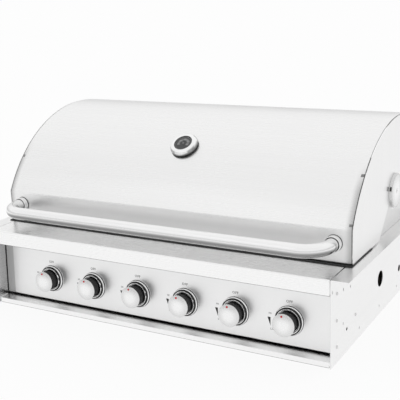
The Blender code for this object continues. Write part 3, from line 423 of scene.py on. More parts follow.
class Shape(Recipe):
    """Geometry Nodes tree with named inputs, which turns marks or an outline into plain meshes."""

    def __init__(self, name, **inputs):
        super().__init__(bpy.data.node_groups.new(name, "GeometryNodeTree"))
        for title, kind in {"Geometry": "Geometry", **inputs, "Finish": "Material"}.items():
            self.tree.interface.new_socket(title, in_out="INPUT", socket_type="NodeSocket" + kind)
        self.tree.interface.new_socket("Geometry", in_out="OUTPUT", socket_type="NodeSocketGeometry")
        self.source = self.tree.nodes.new("NodeGroupInput")

    def given(self, title):
        """Value of a named input."""
        return Value(self, self.source.outputs[title])

    def end(self, geometry):
        """Close the tree with real geometry in its finish."""
        real = self.node("GeometryNodeRealizeInstances", {"Geometry": geometry})
        made = self.node("GeometryNodeSetMaterial", {"Geometry": real, "Material": self.given("Finish")})
        sink = self.tree.nodes.new("NodeGroupOutput")
        self.tree.links.new(made.socket, sink.inputs[0])

    def grown(self, name, start, finish, **values):
        """Piece that the tree makes from a starting mesh and its inputs' values."""
        piece = bpy.data.objects.new(name, start)
        bpy.context.collection.objects.link(piece)
        modifier = piece.modifiers.new(name, "NODES")
        modifier.node_group = self.tree
        for item in self.tree.interface.items_tree:
            if item.in_out == "INPUT" and item.name in {"Finish": finish, **values}:
                modifier[item.identifier] = {"Finish": finish, **values}[item.name]
        return settled(piece)


def set_out_shape():
    """Tree that sets out copies of a unit on marks, each at its own turn."""
    shape = Shape("set_out", Unit="Object")
    unit = shape.node("GeometryNodeObjectInfo", {"Object": shape.given("Unit")}, output="Geometry")
    dots = shape.node("GeometryNodeMeshToPoints", {"Mesh": shape.given("Geometry")})
    turn = shape.node("GeometryNodeInputNamedAttribute", {"Name": "turn"}, data_type="FLOAT_VECTOR")
    shape.end(shape.node("GeometryNodeInstanceOnPoints", {
        "Points": dots, "Instance": unit,
        "Rotation": shape.node("FunctionNodeEulerToRotation", {0: turn}),
    }))
    return shape


def fitted(piece, node, finish, stands_for=True):
    """Give a piece its finish and let it ride with a CAD node, for which it stands."""
    piece.data.materials.clear()
    piece.data.materials.append(finish)
    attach(piece, frame["nodes"][node]["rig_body"])
    if stands_for:
        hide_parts(node)
    return piece


def set_out(name, places, unit, node, finish):
    """Copies of a unit on (place, turn) pairs, fixed to what a CAD node stands for."""
    marks = bpy.data.meshes.new("marks")
    marks.from_pydata([place for place, turn in places], [], [])
    turns = marks.attributes.new("turn", "FLOAT_VECTOR", "POINT")
    turns.data.foreach_set("vector", [angle for place, turn in places for angle in turn])
    fitted(SET_OUT.grown(name, marks, finish, Unit=unit), node, finish, stands_for=False)


def dull_inside(steel):
    """Inner face of a side panel, left as the sheet was rolled."""
    return abs(steel.along("X")) < INNER_HALF + SHEET / 3, 0.60


def domed_head(radius, rise, rim_share, sink, steps=6):
    """Profile of a domed head whose rim takes a share of its rise, sunk a little into its seat."""
    angles = [math.pi / 2 * i / steps for i in range(steps + 1)]
    dome = [(radius * math.sin(a), rise * (rim_share + (1 - rim_share) * math.cos(a))) for a in angles]
    return dome + [(radius, -sink), (0, -sink)]


def screw_unit():
    """Pan head with a cross in it, standing on its seat along Z."""
    head = turned("screw_head", domed_head(SCREW_HEAD, SCREW_RISE, SCREW_RIM_SHARE, SCREW_SINK), steps=24)
    arm = [(-CROSS_REACH, -CROSS_HALF), (CROSS_REACH, -CROSS_HALF),
           (CROSS_REACH, CROSS_HALF), (-CROSS_REACH, CROSS_HALF)]
    cross = gathered("cross", *[drawn("arm", [line], CROSS_FLOOR, CROSS_OPEN, "Z")
                                for line in (arm, [(y, x) for x, y in arm[::-1]])])
    return evened(pierced(head, cross))


SET_OUT = set_out_shape()
SCREW = screw_unit()
SIDE_STEEL = brushed_steel("side_steel", level=0.92, roughness=0.30, grain="Y", dirt_and_shade=dull_inside)
SCREW_STEEL = brushed_steel("screw_steel", level=0.70, roughness=0.24, grain="Z")
slot_round = SLOT_SIZE[0] / 2 - WELD
for word, side in SIDES:
    bent = [(side * INNER_HALF, 0), (side * INNER_HALF, DECK_TOP), (side * FLANGE_HALF, DECK_TOP)]
    panel = folded(f"side_sheet_{word}", bent, -side * SHEET, SHEET_BEND, FRONT, SIDE_END, "Y")
    reach = sorted((side * (BOX_HALF - PUNCH_REACH), side * (BOX_HALF + PUNCH_REACH)))
    punches = [drawn("hole", [ring_line((FRONT + setback, height), radius)], *reach, "X")
               for setback, height, radius in ROUND_HOLES]
    for depth_share, height_share in SLOT_SHARES:
        y = FRONT + (BACK - FRONT) * depth_share
        z = DECK_TOP * height_share
        corners = [(y + a * SLOT_SIZE[0] / 2, z + b * SLOT_SIZE[1] / 2, slot_round)
                   for a, b in ((-1, -1), (1, -1), (1, 1), (-1, 1))]
        punches.append(drawn("slot", [rounded(corners, closed=True, steps=4)], *reach, "X"))
    panel = softened(pierced(panel, gathered("punches", *punches)), EDGE)
    fitted(panel, f"side_panel_{word}", SIDE_STEEL)
    heads = [((side * BOX_HALF, FRONT + setback, height), (0, side * math.pi / 2, 0))
             for setback, height in SCREW_PLACES]
    set_out(f"side_screws_{word}", heads, SCREW, f"side_panel_{word}", SCREW_STEEL)

# Rear panel
# Sheet of the same steel with a flange over the counter and five vents, each under a pressed hood
# that keeps rain out. Screws along both ends hold it to the side panels.
VENT_HALF = 0.057
VENT_TOP = 0.146
HOOD_FALL = 0.019
HOOD_REACH = 0.006
HOOD_SHEET = 0.0012
HOOD_BEND = 0.0010
BACK_SCREW_X = 0.462
BACK_SCREW_HEIGHTS = (0.030, 0.100, 0.170)
VENT_PITCH = BOX_HALF * 2 / 5


def dressed(name, node, finish, edge):
    """Piece with a CAD node's own shape, in whole flat faces with slightly rounded edges."""
    build = bmesh.new()
    build.from_mesh(frame["nodes"][node].data)
    bmesh.ops.remove_doubles(build, verts=build.verts, dist=WELD / 2)
    bmesh.ops.dissolve_limit(build, angle_limit=math.radians(1), verts=build.verts, edges=build.edges)
    fitted(softened(piece_from(name, build), edge), node, finish)


def hood_unit():
    """Pressed hood over a vent, open at its foot."""
    line = [(0, 0), (HOOD_REACH, -HOOD_FALL)]
    shell = folded("hood", line, -HOOD_SHEET, HOOD_BEND, -VENT_HALF, VENT_HALF, "X")
    ends = [drawn("hood_end", [[(0, 0), (HOOD_REACH, -HOOD_FALL), (0, -HOOD_FALL)]],
                  side * VENT_HALF - HOOD_SHEET / 2, side * VENT_HALF + HOOD_SHEET / 2, "X")
            for word, side in SIDES]
    return softened(gathered("hood_unit", shell, *ends), EDGE)


REAR_STEEL = brushed_steel("rear_steel", level=0.82, roughness=0.34, grain="X")
dressed("rear_sheet", "rear_panel", REAR_STEEL, edge=0.0004)
hood = hood_unit()
vents = [((VENT_PITCH * i, BACK, VENT_TOP), (0, 0, 0)) for i in range(-2, 3)]
set_out("vent_hoods", vents, hood, "rear_panel", REAR_STEEL)
bpy.data.objects.remove(hood)
heads = [((side * BACK_SCREW_X, BACK, height), (-math.pi / 2, 0, 0))
         for word, side in SIDES for height in BACK_SCREW_HEIGHTS]
set_out("rear_screws", heads, SCREW, "rear_panel", SCREW_STEEL)

# Top deck
# One sheet brushed from side to side, cut out for the firebox. Its front edge is bent down as a lip
# over the knobs and turned back at the foot of the lip.
LIP_FOOT = DECK_TOP - 0.038
LIP_RETURN = 0.012
LIP_SHADOW_HEIGHT = 0.0016
DECK_END_GAP = 0.0007
DECK_CUT = 0.008
OPENING_CORNER = 0.004
FIRE_LOW, FIRE_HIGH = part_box("firebox")
RIM_REACH = 0.006
FIRE_HALF = FIRE_HIGH.x - RIM_REACH
FIRE_FRONT = FIRE_LOW.y + RIM_REACH
FIRE_BACK = FIRE_HIGH.y - RIM_REACH
DECK_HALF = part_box("top_ledge")[1].x


def lip_shadow_line(steel):
    """Painted shadow: a dark line along the foot of the lip."""
    return steel.along("Z") < LIP_FOOT + LIP_SHADOW_HEIGHT, 0.16


DECK_STEEL = brushed_steel("deck_steel", level=0.97, roughness=0.27, grain="X", dirt_and_shade=lip_shadow_line)
bent = [(SIDE_END, DECK_TOP), (FRONT, DECK_TOP), (FRONT, LIP_FOOT), (FRONT + LIP_RETURN, LIP_FOOT)]
deck = folded("deck_sheet", bent, SHEET, SHEET_BEND, DECK_END_GAP - DECK_HALF, DECK_HALF - DECK_END_GAP, "X")
opening = [(side * (FIRE_HALF + CLEAR), y, OPENING_CORNER)
           for side, y in ((-1, FIRE_FRONT), (1, FIRE_FRONT), (1, FIRE_BACK), (-1, FIRE_BACK))]
punch = drawn("fire_punch", [rounded(opening, closed=True)], DECK_TOP - DECK_CUT, DECK_TOP + DECK_CUT, "Z")
fitted(softened(pierced(deck, punch), EDGE), "top_ledge", DECK_STEEL)

# Firebox
# Plain box of heavier sheet, welded at the corners and hung in the deck by its rim, with ledges inside.
# It darkens to straw and blue where the burners heat it.


def heated_steel(name, level, roughness, low, high):
    """Steel that has been hot: tinted and blotched between two heights."""
    steel = Finish(name)
    clouds = steel.noise(22, detail=5.0)
    specks = steel.noise(420, detail=2.0)
    heat = (steel.along("Z") - low) / (high - low) + (clouds - 0.5) * 0.7
    tint = steel.node("ShaderNodeValToRGB", {0: heat}, stops=(
        (0.0, (level * 0.62, level * 0.60, level * 0.62, 1)), (1.0, grey(level)),
        (0.35, (level * 0.92, level * 0.80, level * 0.62, 1)), (0.62, grey(level * 0.94, 0.02)),
    ))
    return steel.shade({
        "Base Color": steel.blend(specks * 0.3, tint, grey(level * 0.7)),
        "Metallic": 1.0,
        "Roughness": (clouds - 0.5) * 0.25 + (specks - 0.5) * 0.1 + roughness,
        "Normal": steel.bump(specks, depth=0.00003),
    })


FIRE_STEEL = heated_steel("fire_steel", level=0.55, roughness=0.45, low=0.03, high=0.20)
dressed("firebox_shell", "firebox", FIRE_STEEL, edge=0.0004)

# Lid shadow band
# Strip of black matt finish on the deck under the lid's front and end edges, reaching a little in front of
# the lid. It stands for the shadow in the gap under the closed lid and shows as the black line between them.
SHADOW_BAND_WIDTH = 0.016
SHADOW_BAND_THICK = 0.0022
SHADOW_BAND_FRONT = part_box("lid_skin")[0].y - 0.0090
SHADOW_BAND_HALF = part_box("lid_cap_right")[1].x + 0.0018
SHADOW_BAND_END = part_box("rear_cowl")[0].y - 0.034
SHADOW_BAND_CORNER = 0.002


def black_rubber_and_shade(name):
    """Black matt rubber-like finish, slightly dusty, also used for the black strips and rings that stand for
    shade.
    """
    rubber = Finish(name)
    dust = rubber.noise(600, detail=3.0)
    return rubber.shade({
        "Base Color": rubber.blend(dust, grey(0.008), grey(0.022)),
        "Roughness": dust * 0.2 + 0.5,
        "Normal": rubber.bump(dust, depth=0.00002),
    })


RUBBER_AND_SHADE = black_rubber_and_shade("rubber")
outer = [(-SHADOW_BAND_HALF, SHADOW_BAND_END, 0), (-SHADOW_BAND_HALF, SHADOW_BAND_FRONT, SHADOW_BAND_CORNER),
         (SHADOW_BAND_HALF, SHADOW_BAND_FRONT, SHADOW_BAND_CORNER), (SHADOW_BAND_HALF, SHADOW_BAND_END, 0)]
bore = SHADOW_BAND_HALF - SHADOW_BAND_WIDTH
inner = [(bore, SHADOW_BAND_END, 0), (bore, SHADOW_BAND_FRONT + SHADOW_BAND_WIDTH, SHADOW_BAND_CORNER / 2),
         (-bore, SHADOW_BAND_FRONT + SHADOW_BAND_WIDTH, SHADOW_BAND_CORNER / 2), (-bore, SHADOW_BAND_END, 0)]
seal = drawn("lid_seal", [rounded(outer + inner, closed=True)], DECK_TOP + CLEAR / 3, DECK_TOP + SHADOW_BAND_THICK,
             "Z")
fitted(softened(seal, 0.0004), "top_ledge", RUBBER_AND_SHADE, stands_for=False)

# Rear cowl
# Fixed back wall of the cooking space with a wing at each end, which carries the hinges and the brackets
# of the warming rack. A row of blind rivets runs along its back near the foot and one near the top.
COWL_LOW, COWL_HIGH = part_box("rear_cowl")
RIVET_HEAD = 0.0032
RIVET_RISE = 0.0011
RIVET_SINK = 0.0004
RIVET_PITCH = 0.118
RIVET_INSET = 0.012
COWL_STEEL = brushed_steel("cowl_steel", level=0.78, roughness=0.36, grain="X")
dressed("cowl_sheet", "rear_cowl", COWL_STEEL, edge=0.0004)
rivet = turned("rivet", domed_head(RIVET_HEAD, RIVET_RISE, 0, RIVET_SINK), steps=16)
rows = [((RIVET_PITCH * i, COWL_HIGH.y, height), (-math.pi / 2, 0, 0))
        for height in (COWL_LOW.z + RIVET_INSET, COWL_HIGH.z - RIVET_INSET) for i in range(-3, 4)]
set_out("cowl_rivets", rows, rivet, "rear_cowl", SCREW_STEEL)
bpy.data.objects.remove(rivet)

# Control panel
# Polished sheet that leans back a little between the side panels, both long edges turned back.
# OFF, HI, LO and a wedge that narrows as the flame drops are printed in black at each knob.
PANEL_SETBACK = 0.0382
PANEL_FOOT = 0.016
PANEL_LEAN = math.radians(3.0)
PANEL_RETURN = 0.012
PANEL_GAP = 0.0020
PANEL_LIFT = 0.0020
REFLECTION_LEFT = 0.025
REFLECTION_RIGHT = 0.014
REFLECTION_FADE = 0.002
KNOB_ROW_HEIGHT = 0.0616
STEM_HOLE = 0.008
KNOB_COUNT = 6
PRINT_RELIEF = 0.00006
OFF_RISE = 0.0447
OFF_SIZE = 0.0086
FLAME_SIZE = 0.0066
HI_PLACE = (-0.0475, 0.0100)
LO_PLACE = (-0.0420, -0.0270)
STROKE_SHARE = 0.01
LETTER_SPACE = 1.12
WEDGE_INNER = 0.0463
WEDGE_WIDTH = 0.0076
WEDGE_TOP = 0.0008
WEDGE_HEIGHT = 0.0208
PANEL_PLACE = (Matrix.Translation((0, FRONT + PANEL_SETBACK, PANEL_FOOT))
               @ Matrix.Rotation(-PANEL_LEAN, 4, "X"))
PANEL_HEIGHT = (DECK_TOP - SHEET - CLEAR - PANEL_FOOT) / math.cos(PANEL_LEAN)
PANEL_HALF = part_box("control_panel")[1].x
KNOB_XS = [sum(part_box(f"knob_bezel_{i + 1}"), Vector()).x / 2 for i in range(KNOB_COUNT)]
KNOB_SEATS = [PANEL_PLACE @ Matrix.Translation((x, 0, KNOB_ROW_HEIGHT)) @ Matrix.Rotation(math.pi / 2, 4, "X")
              for x in KNOB_XS]


def polished_steel(name, level, roughness):
    """Polished steel: soft mirror with faint swirls and wiping marks, and a painted reflection darkening a
    strip at each end.
    """
    steel = Finish(name)
    out = steel.along("X")
    left = steel.rising(-out, PANEL_HALF - REFLECTION_LEFT - REFLECTION_FADE, PANEL_HALF - REFLECTION_LEFT)
    right = steel.rising(out, PANEL_HALF - REFLECTION_RIGHT, PANEL_HALF)
    swirls = steel.noise([35, 35, 60], detail=6.0)
    marks = steel.noise([5, 5, 9], detail=3.0)
    sheen = steel.blend(swirls * 0.6 + marks * 0.4, grey(level * 0.965), grey(min(level * 1.03, 0.98)))
    return steel.shade({
        # Painted reflection: both end strips are darkened towards a dark grey.
        "Base Color": steel.blend(left * 0.42 + right * 0.3, sheen, grey(0.22)),
        "Metallic": 1.0,
        "Roughness": (swirls - 0.5) * 0.05 + (marks - 0.5) * 0.06 + roughness,
        "Normal": steel.bump(swirls, depth=0.000015),
    })


def lettering(word, size, place):
    """Word in plain capitals as a thin closed mesh, centred on its place."""
    curve = bpy.data.curves.new(word, "FONT")
    curve.body = word
    curve.size = size
    curve.align_x = "CENTER"
    curve.align_y = "CENTER"
    curve.extrude = PRINT_RELIEF / 2
    curve.offset = size * STROKE_SHARE
    curve.space_character = LETTER_SPACE
    curve.resolution_u = 2
    return from_curve(word, curve, Matrix.Translation((*place, PRINT_RELIEF / 2)))


def wedge():
    """Mark beside a knob, broad at its top end and pointed at its foot."""
    corners = [(-WEDGE_INNER, WEDGE_TOP), (-WEDGE_INNER, WEDGE_TOP - WEDGE_HEIGHT),
               (-WEDGE_INNER - WEDGE_WIDTH, WEDGE_TOP)]
    return drawn("wedge", [corners], 0, PRINT_RELIEF, "Z")


def printed(name, colour):
    """Screen-printed ink, slightly uneven at its edges."""
    ink = Finish(name)
    grain = ink.noise(900, detail=2.0)
    return ink.shade({
        "Base Color": ink.blend(grain, colour, [part * 1.2 + 0.004 for part in colour[:3]] + [1]),
        "Roughness": grain * 0.2 + 0.42,
    })


PANEL_STEEL = polished_steel("panel_steel", level=0.89, roughness=0.36)
INK = printed("panel_ink", grey(0.02))
bent = [(PANEL_RETURN, PANEL_HEIGHT), (0, PANEL_HEIGHT), (0, PANEL_LIFT), (PANEL_RETURN, PANEL_LIFT)]
panel = folded("front_panel", bent, SHEET, SHEET_BEND, PANEL_GAP - PANEL_HALF, PANEL_HALF - PANEL_GAP, "X")
holes = gathered("stem_holes", *[drawn("hole", [ring_line((x, KNOB_ROW_HEIGHT), STEM_HOLE, 24)],
                                       -PUNCH_REACH / 2, PUNCH_REACH / 2, "Y") for x in KNOB_XS])
panel = pierced(panel, holes)
panel.data.transform(PANEL_PLACE)
fitted(softened(panel, EDGE), "control_panel", PANEL_STEEL)
marks = gathered("knob_marks", lettering("OFF", OFF_SIZE, (0, OFF_RISE)), wedge(),
                 lettering("HI", FLAME_SIZE, HI_PLACE), lettering("LO", FLAME_SIZE, LO_PLACE))
seats = [(seat.translation, seat.to_euler()) for seat in KNOB_SEATS]
set_out("panel_print", seats, marks, "control_panel", INK)
bpy.data.objects.remove(marks)

# Knob rings
# Turned and chromed steel, with a low flange, a step and a rounded crown. One sits on the panel round
# each knob and hides the hole of its stem.
RING_BORE = 0.0266
RING_EDGE = 0.0345
RING_FOOT = 0.0018
RING_FLANGE = 0.0040
RING_STEP = 0.0055
RING_SHOULDER = 0.0090
RING_CROWN = 0.0110
RING_UNDER = RING_EDGE - 0.0015
RING_STEP_OUT = RING_EDGE - 0.0026
RING_STEP_IN = RING_EDGE - 0.0042
RING_NECK = RING_EDGE - 0.0044
RING_BROW = RING_EDGE - 0.0056
RING_MOUTH = RING_BORE + 0.0008


def chrome_plate(name, level, roughness=0.055):
    """Chrome plating with a faint haze and specks of dust."""
    plate = Finish(name)
    haze = plate.noise(60, detail=4.0)
    dust = plate.noise(1500, detail=1.0)
    return plate.shade({
        "Base Color": plate.blend(haze, grey(level * 0.97), grey(min(level * 1.03, 0.98))),
        "Metallic": 1.0,
        "Roughness": (haze - 0.5) * 0.04 + (dust > 0.72) * 0.12 + roughness,
    })


CHROME = chrome_plate("chrome", level=0.86)
ring_profile = rounded([
    (RING_UNDER, RING_FOOT, 0.0002), (RING_EDGE, RING_FOOT, 0.0002), (RING_EDGE, RING_FLANGE, 0.0012),
    (RING_STEP_OUT, RING_STEP, 0.0008), (RING_STEP_IN, RING_STEP, 0.0006), (RING_NECK, RING_SHOULDER, 0.0008),
    (RING_BROW, RING_CROWN, 0.0007), (RING_MOUTH, RING_CROWN - CLEAR / 3, 0.0006),
    (RING_BORE, RING_SHOULDER, 0.0008), (RING_BORE, CLEAR, 0.0002), (RING_UNDER, CLEAR, 0.0002),
], closed=True, steps=5)
for number, seat in enumerate(KNOB_SEATS, start=1):
    fitted(turned(f"knob_ring_{number}", ring_profile, seat, ring=True), f"knob_bezel_{number}", CHROME)

# Knob shade rings
# A black ring lies in the step of each chrome ring and stands for the dark reflection there, and a thinner
# one under its edge, a little proud of it, stands for the shadow line round the ring on the panel.
STEP_SHADE_INNER = 0.0300
STEP_SHADE_OUTER = 0.0327
STEP_SHADE_TOP = 0.0093
STEP_SHADE_FLAT = 0.0009
STEP_SHADE_EDGE = 0.0062
STEP_SHADE_FOOT = 0.0045
SHADOW_RING_RISE = 0.0016
SHADOW_RING_PROUD = 0.0005
SHADOW_RING_UNDER = 0.0010
SHADOW_RING_FOOT = 0.0002

shade_rings_profile = rounded([
    (STEP_SHADE_INNER, STEP_SHADE_FOOT, 0), (STEP_SHADE_INNER, STEP_SHADE_TOP, 0.0003),
    (STEP_SHADE_INNER + STEP_SHADE_FLAT, STEP_SHADE_TOP, 0.0004), (STEP_SHADE_OUTER, STEP_SHADE_EDGE, 0.0005),
    (STEP_SHADE_OUTER, STEP_SHADE_FOOT, 0),
], closed=True, steps=3)
shadow_band_profile = rounded([
    (RING_EDGE - SHADOW_RING_UNDER, SHADOW_RING_FOOT, 0), (RING_EDGE - SHADOW_RING_UNDER, SHADOW_RING_RISE, 0),
    (RING_EDGE + SHADOW_RING_PROUD, SHADOW_RING_RISE, 0.0003), (RING_EDGE + SHADOW_RING_PROUD, SHADOW_RING_FOOT, 0),
], closed=True, steps=3)
for number, seat in enumerate(KNOB_SEATS, start=1):
    gasket = gathered(f"knob_gasket_{number}", turned("gasket", shade_rings_profile, seat, ring=True),
                      turned("seal", shadow_band_profile, seat, ring=True))
    fitted(evened(gasket), f"knob_bezel_{number}", RUBBER_AND_SHADE, stands_for=False)

# Gas line
# Square manifold pipe in plain steel with six forged brass valves on it, and a bent pipe with a threaded
# coupling from its open end to the hole in the right side panel.


def cast_brass(name):
    """Brass, darker and rougher in random stains."""
    brass = Finish(name)
    stain = brass.noise(90, detail=5.0)
    grain = brass.noise(700, detail=2.0)
    return brass.shade({
        "Base Color": brass.blend(stain, (0.45, 0.30, 0.13, 1), (0.76, 0.58, 0.30, 1)),
        "Metallic": 1.0,
        "Roughness": stain * 0.25 + grain * 0.1 + 0.2,
        "Normal": brass.bump(grain, depth=0.00003),
    })


BRASS = cast_brass("brass")
PIPE_STEEL = brushed_steel("pipe_steel", level=0.55, roughness=0.42, grain="X")
dressed("gas_rail", "gas_manifold", PIPE_STEEL, edge=0.0008)
dressed("supply_pipe", "gas_inlet", PIPE_STEEL, edge=EDGE)
for number in range(1, KNOB_COUNT + 1):
    dressed(f"brass_valve_{number}", f"valve_body_{number}", BRASS, edge=0.0006)
    dressed(f"stem_rod_{number}", f"valve_stem_{number}", BRASS, edge=0.0002)

# Knobs
# Each is a black moulded grip with fine ribs, under a broad satin metal cap that is slightly domed
# and carries a red painted dot.
GRIP_RADIUS = 0.0246
GRIP_FOOT = 0.0035
GRIP_TOP = 0.0338
CAP_RADIUS = 0.0270
CAP_FOOT = 0.0336
CAP_EDGE = 0.0353
CAP_CROWN = 0.0385
KNOB_ROUND = 0.0006
GRIP_WALL = 0.0035
GRIP_ROOF = GRIP_TOP - 0.004
HUB_RADIUS = 0.0070
HUB_FOOT = 0.0075
RIB_COUNT = 64
RIB_RADIUS = 0.00055
RIB_FOOT = GRIP_FOOT + 0.0018
RIB_TOP = GRIP_TOP - 0.0012
DOT_RADIUS = 0.0026
DOT_RISE = 0.0004
DOT_SINK = 0.0006
DOT_OUT = 0.0208
DOT_TURN = math.radians(10)


def ribbed_shape():
    """Tree that stands copies of a rib round a circle, each turned to face outwards."""
    shape = Shape("ribs", Unit="Object", Count="Int", Radius="Float")
    count = shape.given("Count")
    ring = shape.node("GeometryNodeMeshCircle", {"Vertices": count, "Radius": shape.given("Radius")})
    dots = shape.node("GeometryNodeMeshToPoints", {"Mesh": ring})
    unit = shape.node("GeometryNodeObjectInfo", {"Object": shape.given("Unit")}, output="Geometry")
    angle = shape.node("GeometryNodeInputIndex") * math.tau / count
    turn = shape.node("ShaderNodeCombineXYZ", {"Z": angle})
    shape.end(shape.node("GeometryNodeInstanceOnPoints", {
        "Points": dots, "Instance": unit,
        "Rotation": shape.node("FunctionNodeEulerToRotation", {0: turn}),
    }))
    return shape


def around(name, unit, count, radius, finish):
    """Copies of a unit round a circle, facing outwards."""
    return RIBS.grown(name, bpy.data.meshes.new("none"), finish, Unit=unit, Count=count, Radius=radius)


def moulded_black(name):
    """Black moulded plastic with a fine even grain."""
    plastic = Finish(name)
    grain = plastic.noise(1800, detail=2.0)
    wear = plastic.noise(40, detail=3.0)
    return plastic.shade({
        "Base Color": plastic.blend(wear, (0.006, 0.006, 0.007, 1), (0.014, 0.014, 0.015, 1)),
        "Roughness": wear * 0.15 + 0.28,
        "Normal": plastic.bump(grain, depth=0.00002),
    })


def satin_cap(name, radius):
    """Satin plated metal with a painted sheen: lighter in the middle, darker towards the rim."""
    metal = Finish(name)
    grain = metal.noise(650, detail=3.0)
    marks = metal.noise(30, detail=3.0)
    out = metal.node("ShaderNodeAttribute", output="Fac", attribute_name="out")
    # Painted sheen: lighter towards the middle, darker towards the rim.
    painted_sheen = metal.blend(metal.rising(out, radius * 0.25, radius * 1.05), grey(0.95), grey(0.74))
    return metal.shade({
        "Base Color": metal.blend(grain * 0.06 + marks * 0.08, painted_sheen, grey(0.55)),
        "Metallic": 1.0,
        "Roughness": (grain - 0.5) * 0.08 + (marks - 0.5) * 0.08 + 0.27,
        "Normal": metal.bump(grain, depth=0.00001),
    })


RIBS = ribbed_shape()
GRIP_PLASTIC = moulded_black("grip_plastic")
CAP_METAL = satin_cap("cap_metal", CAP_RADIUS)
RED_PAINT = printed("red_paint", (0.50, 0.006, 0.012, 1))
dome = [(CAP_RADIUS * 0.94 * i / 10, CAP_CROWN - (CAP_CROWN - CAP_EDGE) * (i / 10) ** 2) for i in range(11)]
cap_profile = dome + rounded([
    (*dome[-1], 0), (CAP_RADIUS, CAP_EDGE - KNOB_ROUND / 3, KNOB_ROUND), (CAP_RADIUS, CAP_FOOT, KNOB_ROUND),
    (GRIP_RADIUS - 0.001, CAP_FOOT, 0), (0, CAP_FOOT, 0),
])[1:]
grip_profile = rounded([
    (0, GRIP_TOP, 0), (GRIP_RADIUS - KNOB_ROUND, GRIP_TOP, 0), (GRIP_RADIUS, GRIP_TOP - KNOB_ROUND, 0),
    (GRIP_RADIUS, GRIP_FOOT, 0.0008), (GRIP_RADIUS - GRIP_WALL, GRIP_FOOT, 0.0008),
    (GRIP_RADIUS - GRIP_WALL, GRIP_ROOF, 0), (HUB_RADIUS, GRIP_ROOF, 0), (HUB_RADIUS, HUB_FOOT, 0.0006),
    (0, HUB_FOOT, 0),
])
flank = (RIB_RADIUS * 0.5, RIB_RADIUS * 0.7)
rib_line = [(-CLEAR, -RIB_RADIUS), (flank[0], -flank[1]), (RIB_RADIUS, 0), flank, (-CLEAR, RIB_RADIUS)]
rib = softened(drawn("rib", [rib_line], RIB_FOOT, RIB_TOP, "Z"), 0.0001)
dot_level = CAP_CROWN - (CAP_CROWN - CAP_EDGE) * (DOT_OUT / CAP_RADIUS) ** 2
dot_profile = [(0, dot_level + DOT_RISE), (DOT_RADIUS * 0.7, dot_level + DOT_RISE * 0.875),
               (DOT_RADIUS, dot_level), (DOT_RADIUS, dot_level - DOT_SINK), (0, dot_level - DOT_SINK)]
dot_place = Matrix.Rotation(DOT_TURN, 4, "Z") @ Matrix.Translation((0, DOT_OUT, 0))
for number, seat in enumerate(KNOB_SEATS, start=1):
    node = f"knob_{number}"
    fitted(turned(f"knob_cap_{number}", cap_profile, seat), node, CAP_METAL)
    ribs = around("ribs", rib, RIB_COUNT, GRIP_RADIUS, GRIP_PLASTIC)
    ribs.data.transform(seat)
    grip = gathered(f"knob_grip_{number}", turned("core", grip_profile, seat), ribs)
    fitted(evened(grip), node, GRIP_PLASTIC, stands_for=False)
    dot = turned(f"knob_dot_{number}", dot_profile, seat @ dot_place, steps=24)
    fitted(dot, node, RED_PAINT, stands_for=False)
bpy.data.objects.remove(rib)

# Burners
# Six tubes of stainless steel with two rows of slits near the top. The open mouth fits over a valve's
# orifice and the spun-down tail sits in the firebox's rear wall.
BURNER_RADIUS = 0.0127
BURNER_WALL = 0.0014
BURNER_TAIL = 0.0055
TAIL_LENGTH = 0.016
PORT_PITCH = 0.0085
PORT_SHARE = 0.2
PORTS_START = 0.030
PORTS_END = 0.020
PORTS_MARGIN = 0.004


def ported_shape():
    """Tree that takes away the faces of a sheet that are marked as ports."""
    shape = Shape("ports")
    port = shape.node("GeometryNodeInputNamedAttribute", {"Name": "port"}, data_type="BOOLEAN")
    shape.end(shape.node("GeometryNodeDeleteGeometry", {
        "Geometry": shape.given("Geometry"), "Selection": port,
    }, domain="FACE"))
    return shape


def port_stations(start, end, margin):
    """Places along a burner or tamer: two for each row of slits, and whether the gap after it is a slit."""
    count = int((end - start - margin * 2) / PORT_PITCH)
    stations = [(start, False)]
    for i in range(count):
        at = start + margin + PORT_PITCH * i
        stations += [(at, True), (at + PORT_PITCH * PORT_SHARE, False)]
    return stations + [(end, False)]


def walled(piece, thickness):
    """Give a piece that is all outer faces a wall, inwards from them."""
    wall = piece.modifiers.new("Wall", "SOLIDIFY")
    wall.thickness = thickness
    wall.offset = -1
    return settled(piece)


def slitted(name, sections, ports, closed, finish, wall):
    """Sheet through a row of equal sections, with slits in some of its strips."""
    build = bmesh.new()
    mark = build.faces.layers.bool.new("port")
    rows = [[build.verts.new(point) for point in points] for points, slit in sections]
    for i in range(len(rows) - 1):
        for j in range(len(rows[i]) if closed else len(rows[i]) - 1):
            k = (j + 1) % len(rows[i])
            face = build.faces.new((rows[i][j], rows[i][k], rows[i + 1][k], rows[i + 1][j]))
            face[mark] = sections[i][1] and j in ports
    mesh = bpy.data.meshes.new(name)
    bmesh.ops.recalc_face_normals(build, faces=build.faces)
    build.to_mesh(mesh)
    build.free()
    return evened(walled(PORTS.grown(name, mesh, finish), wall))


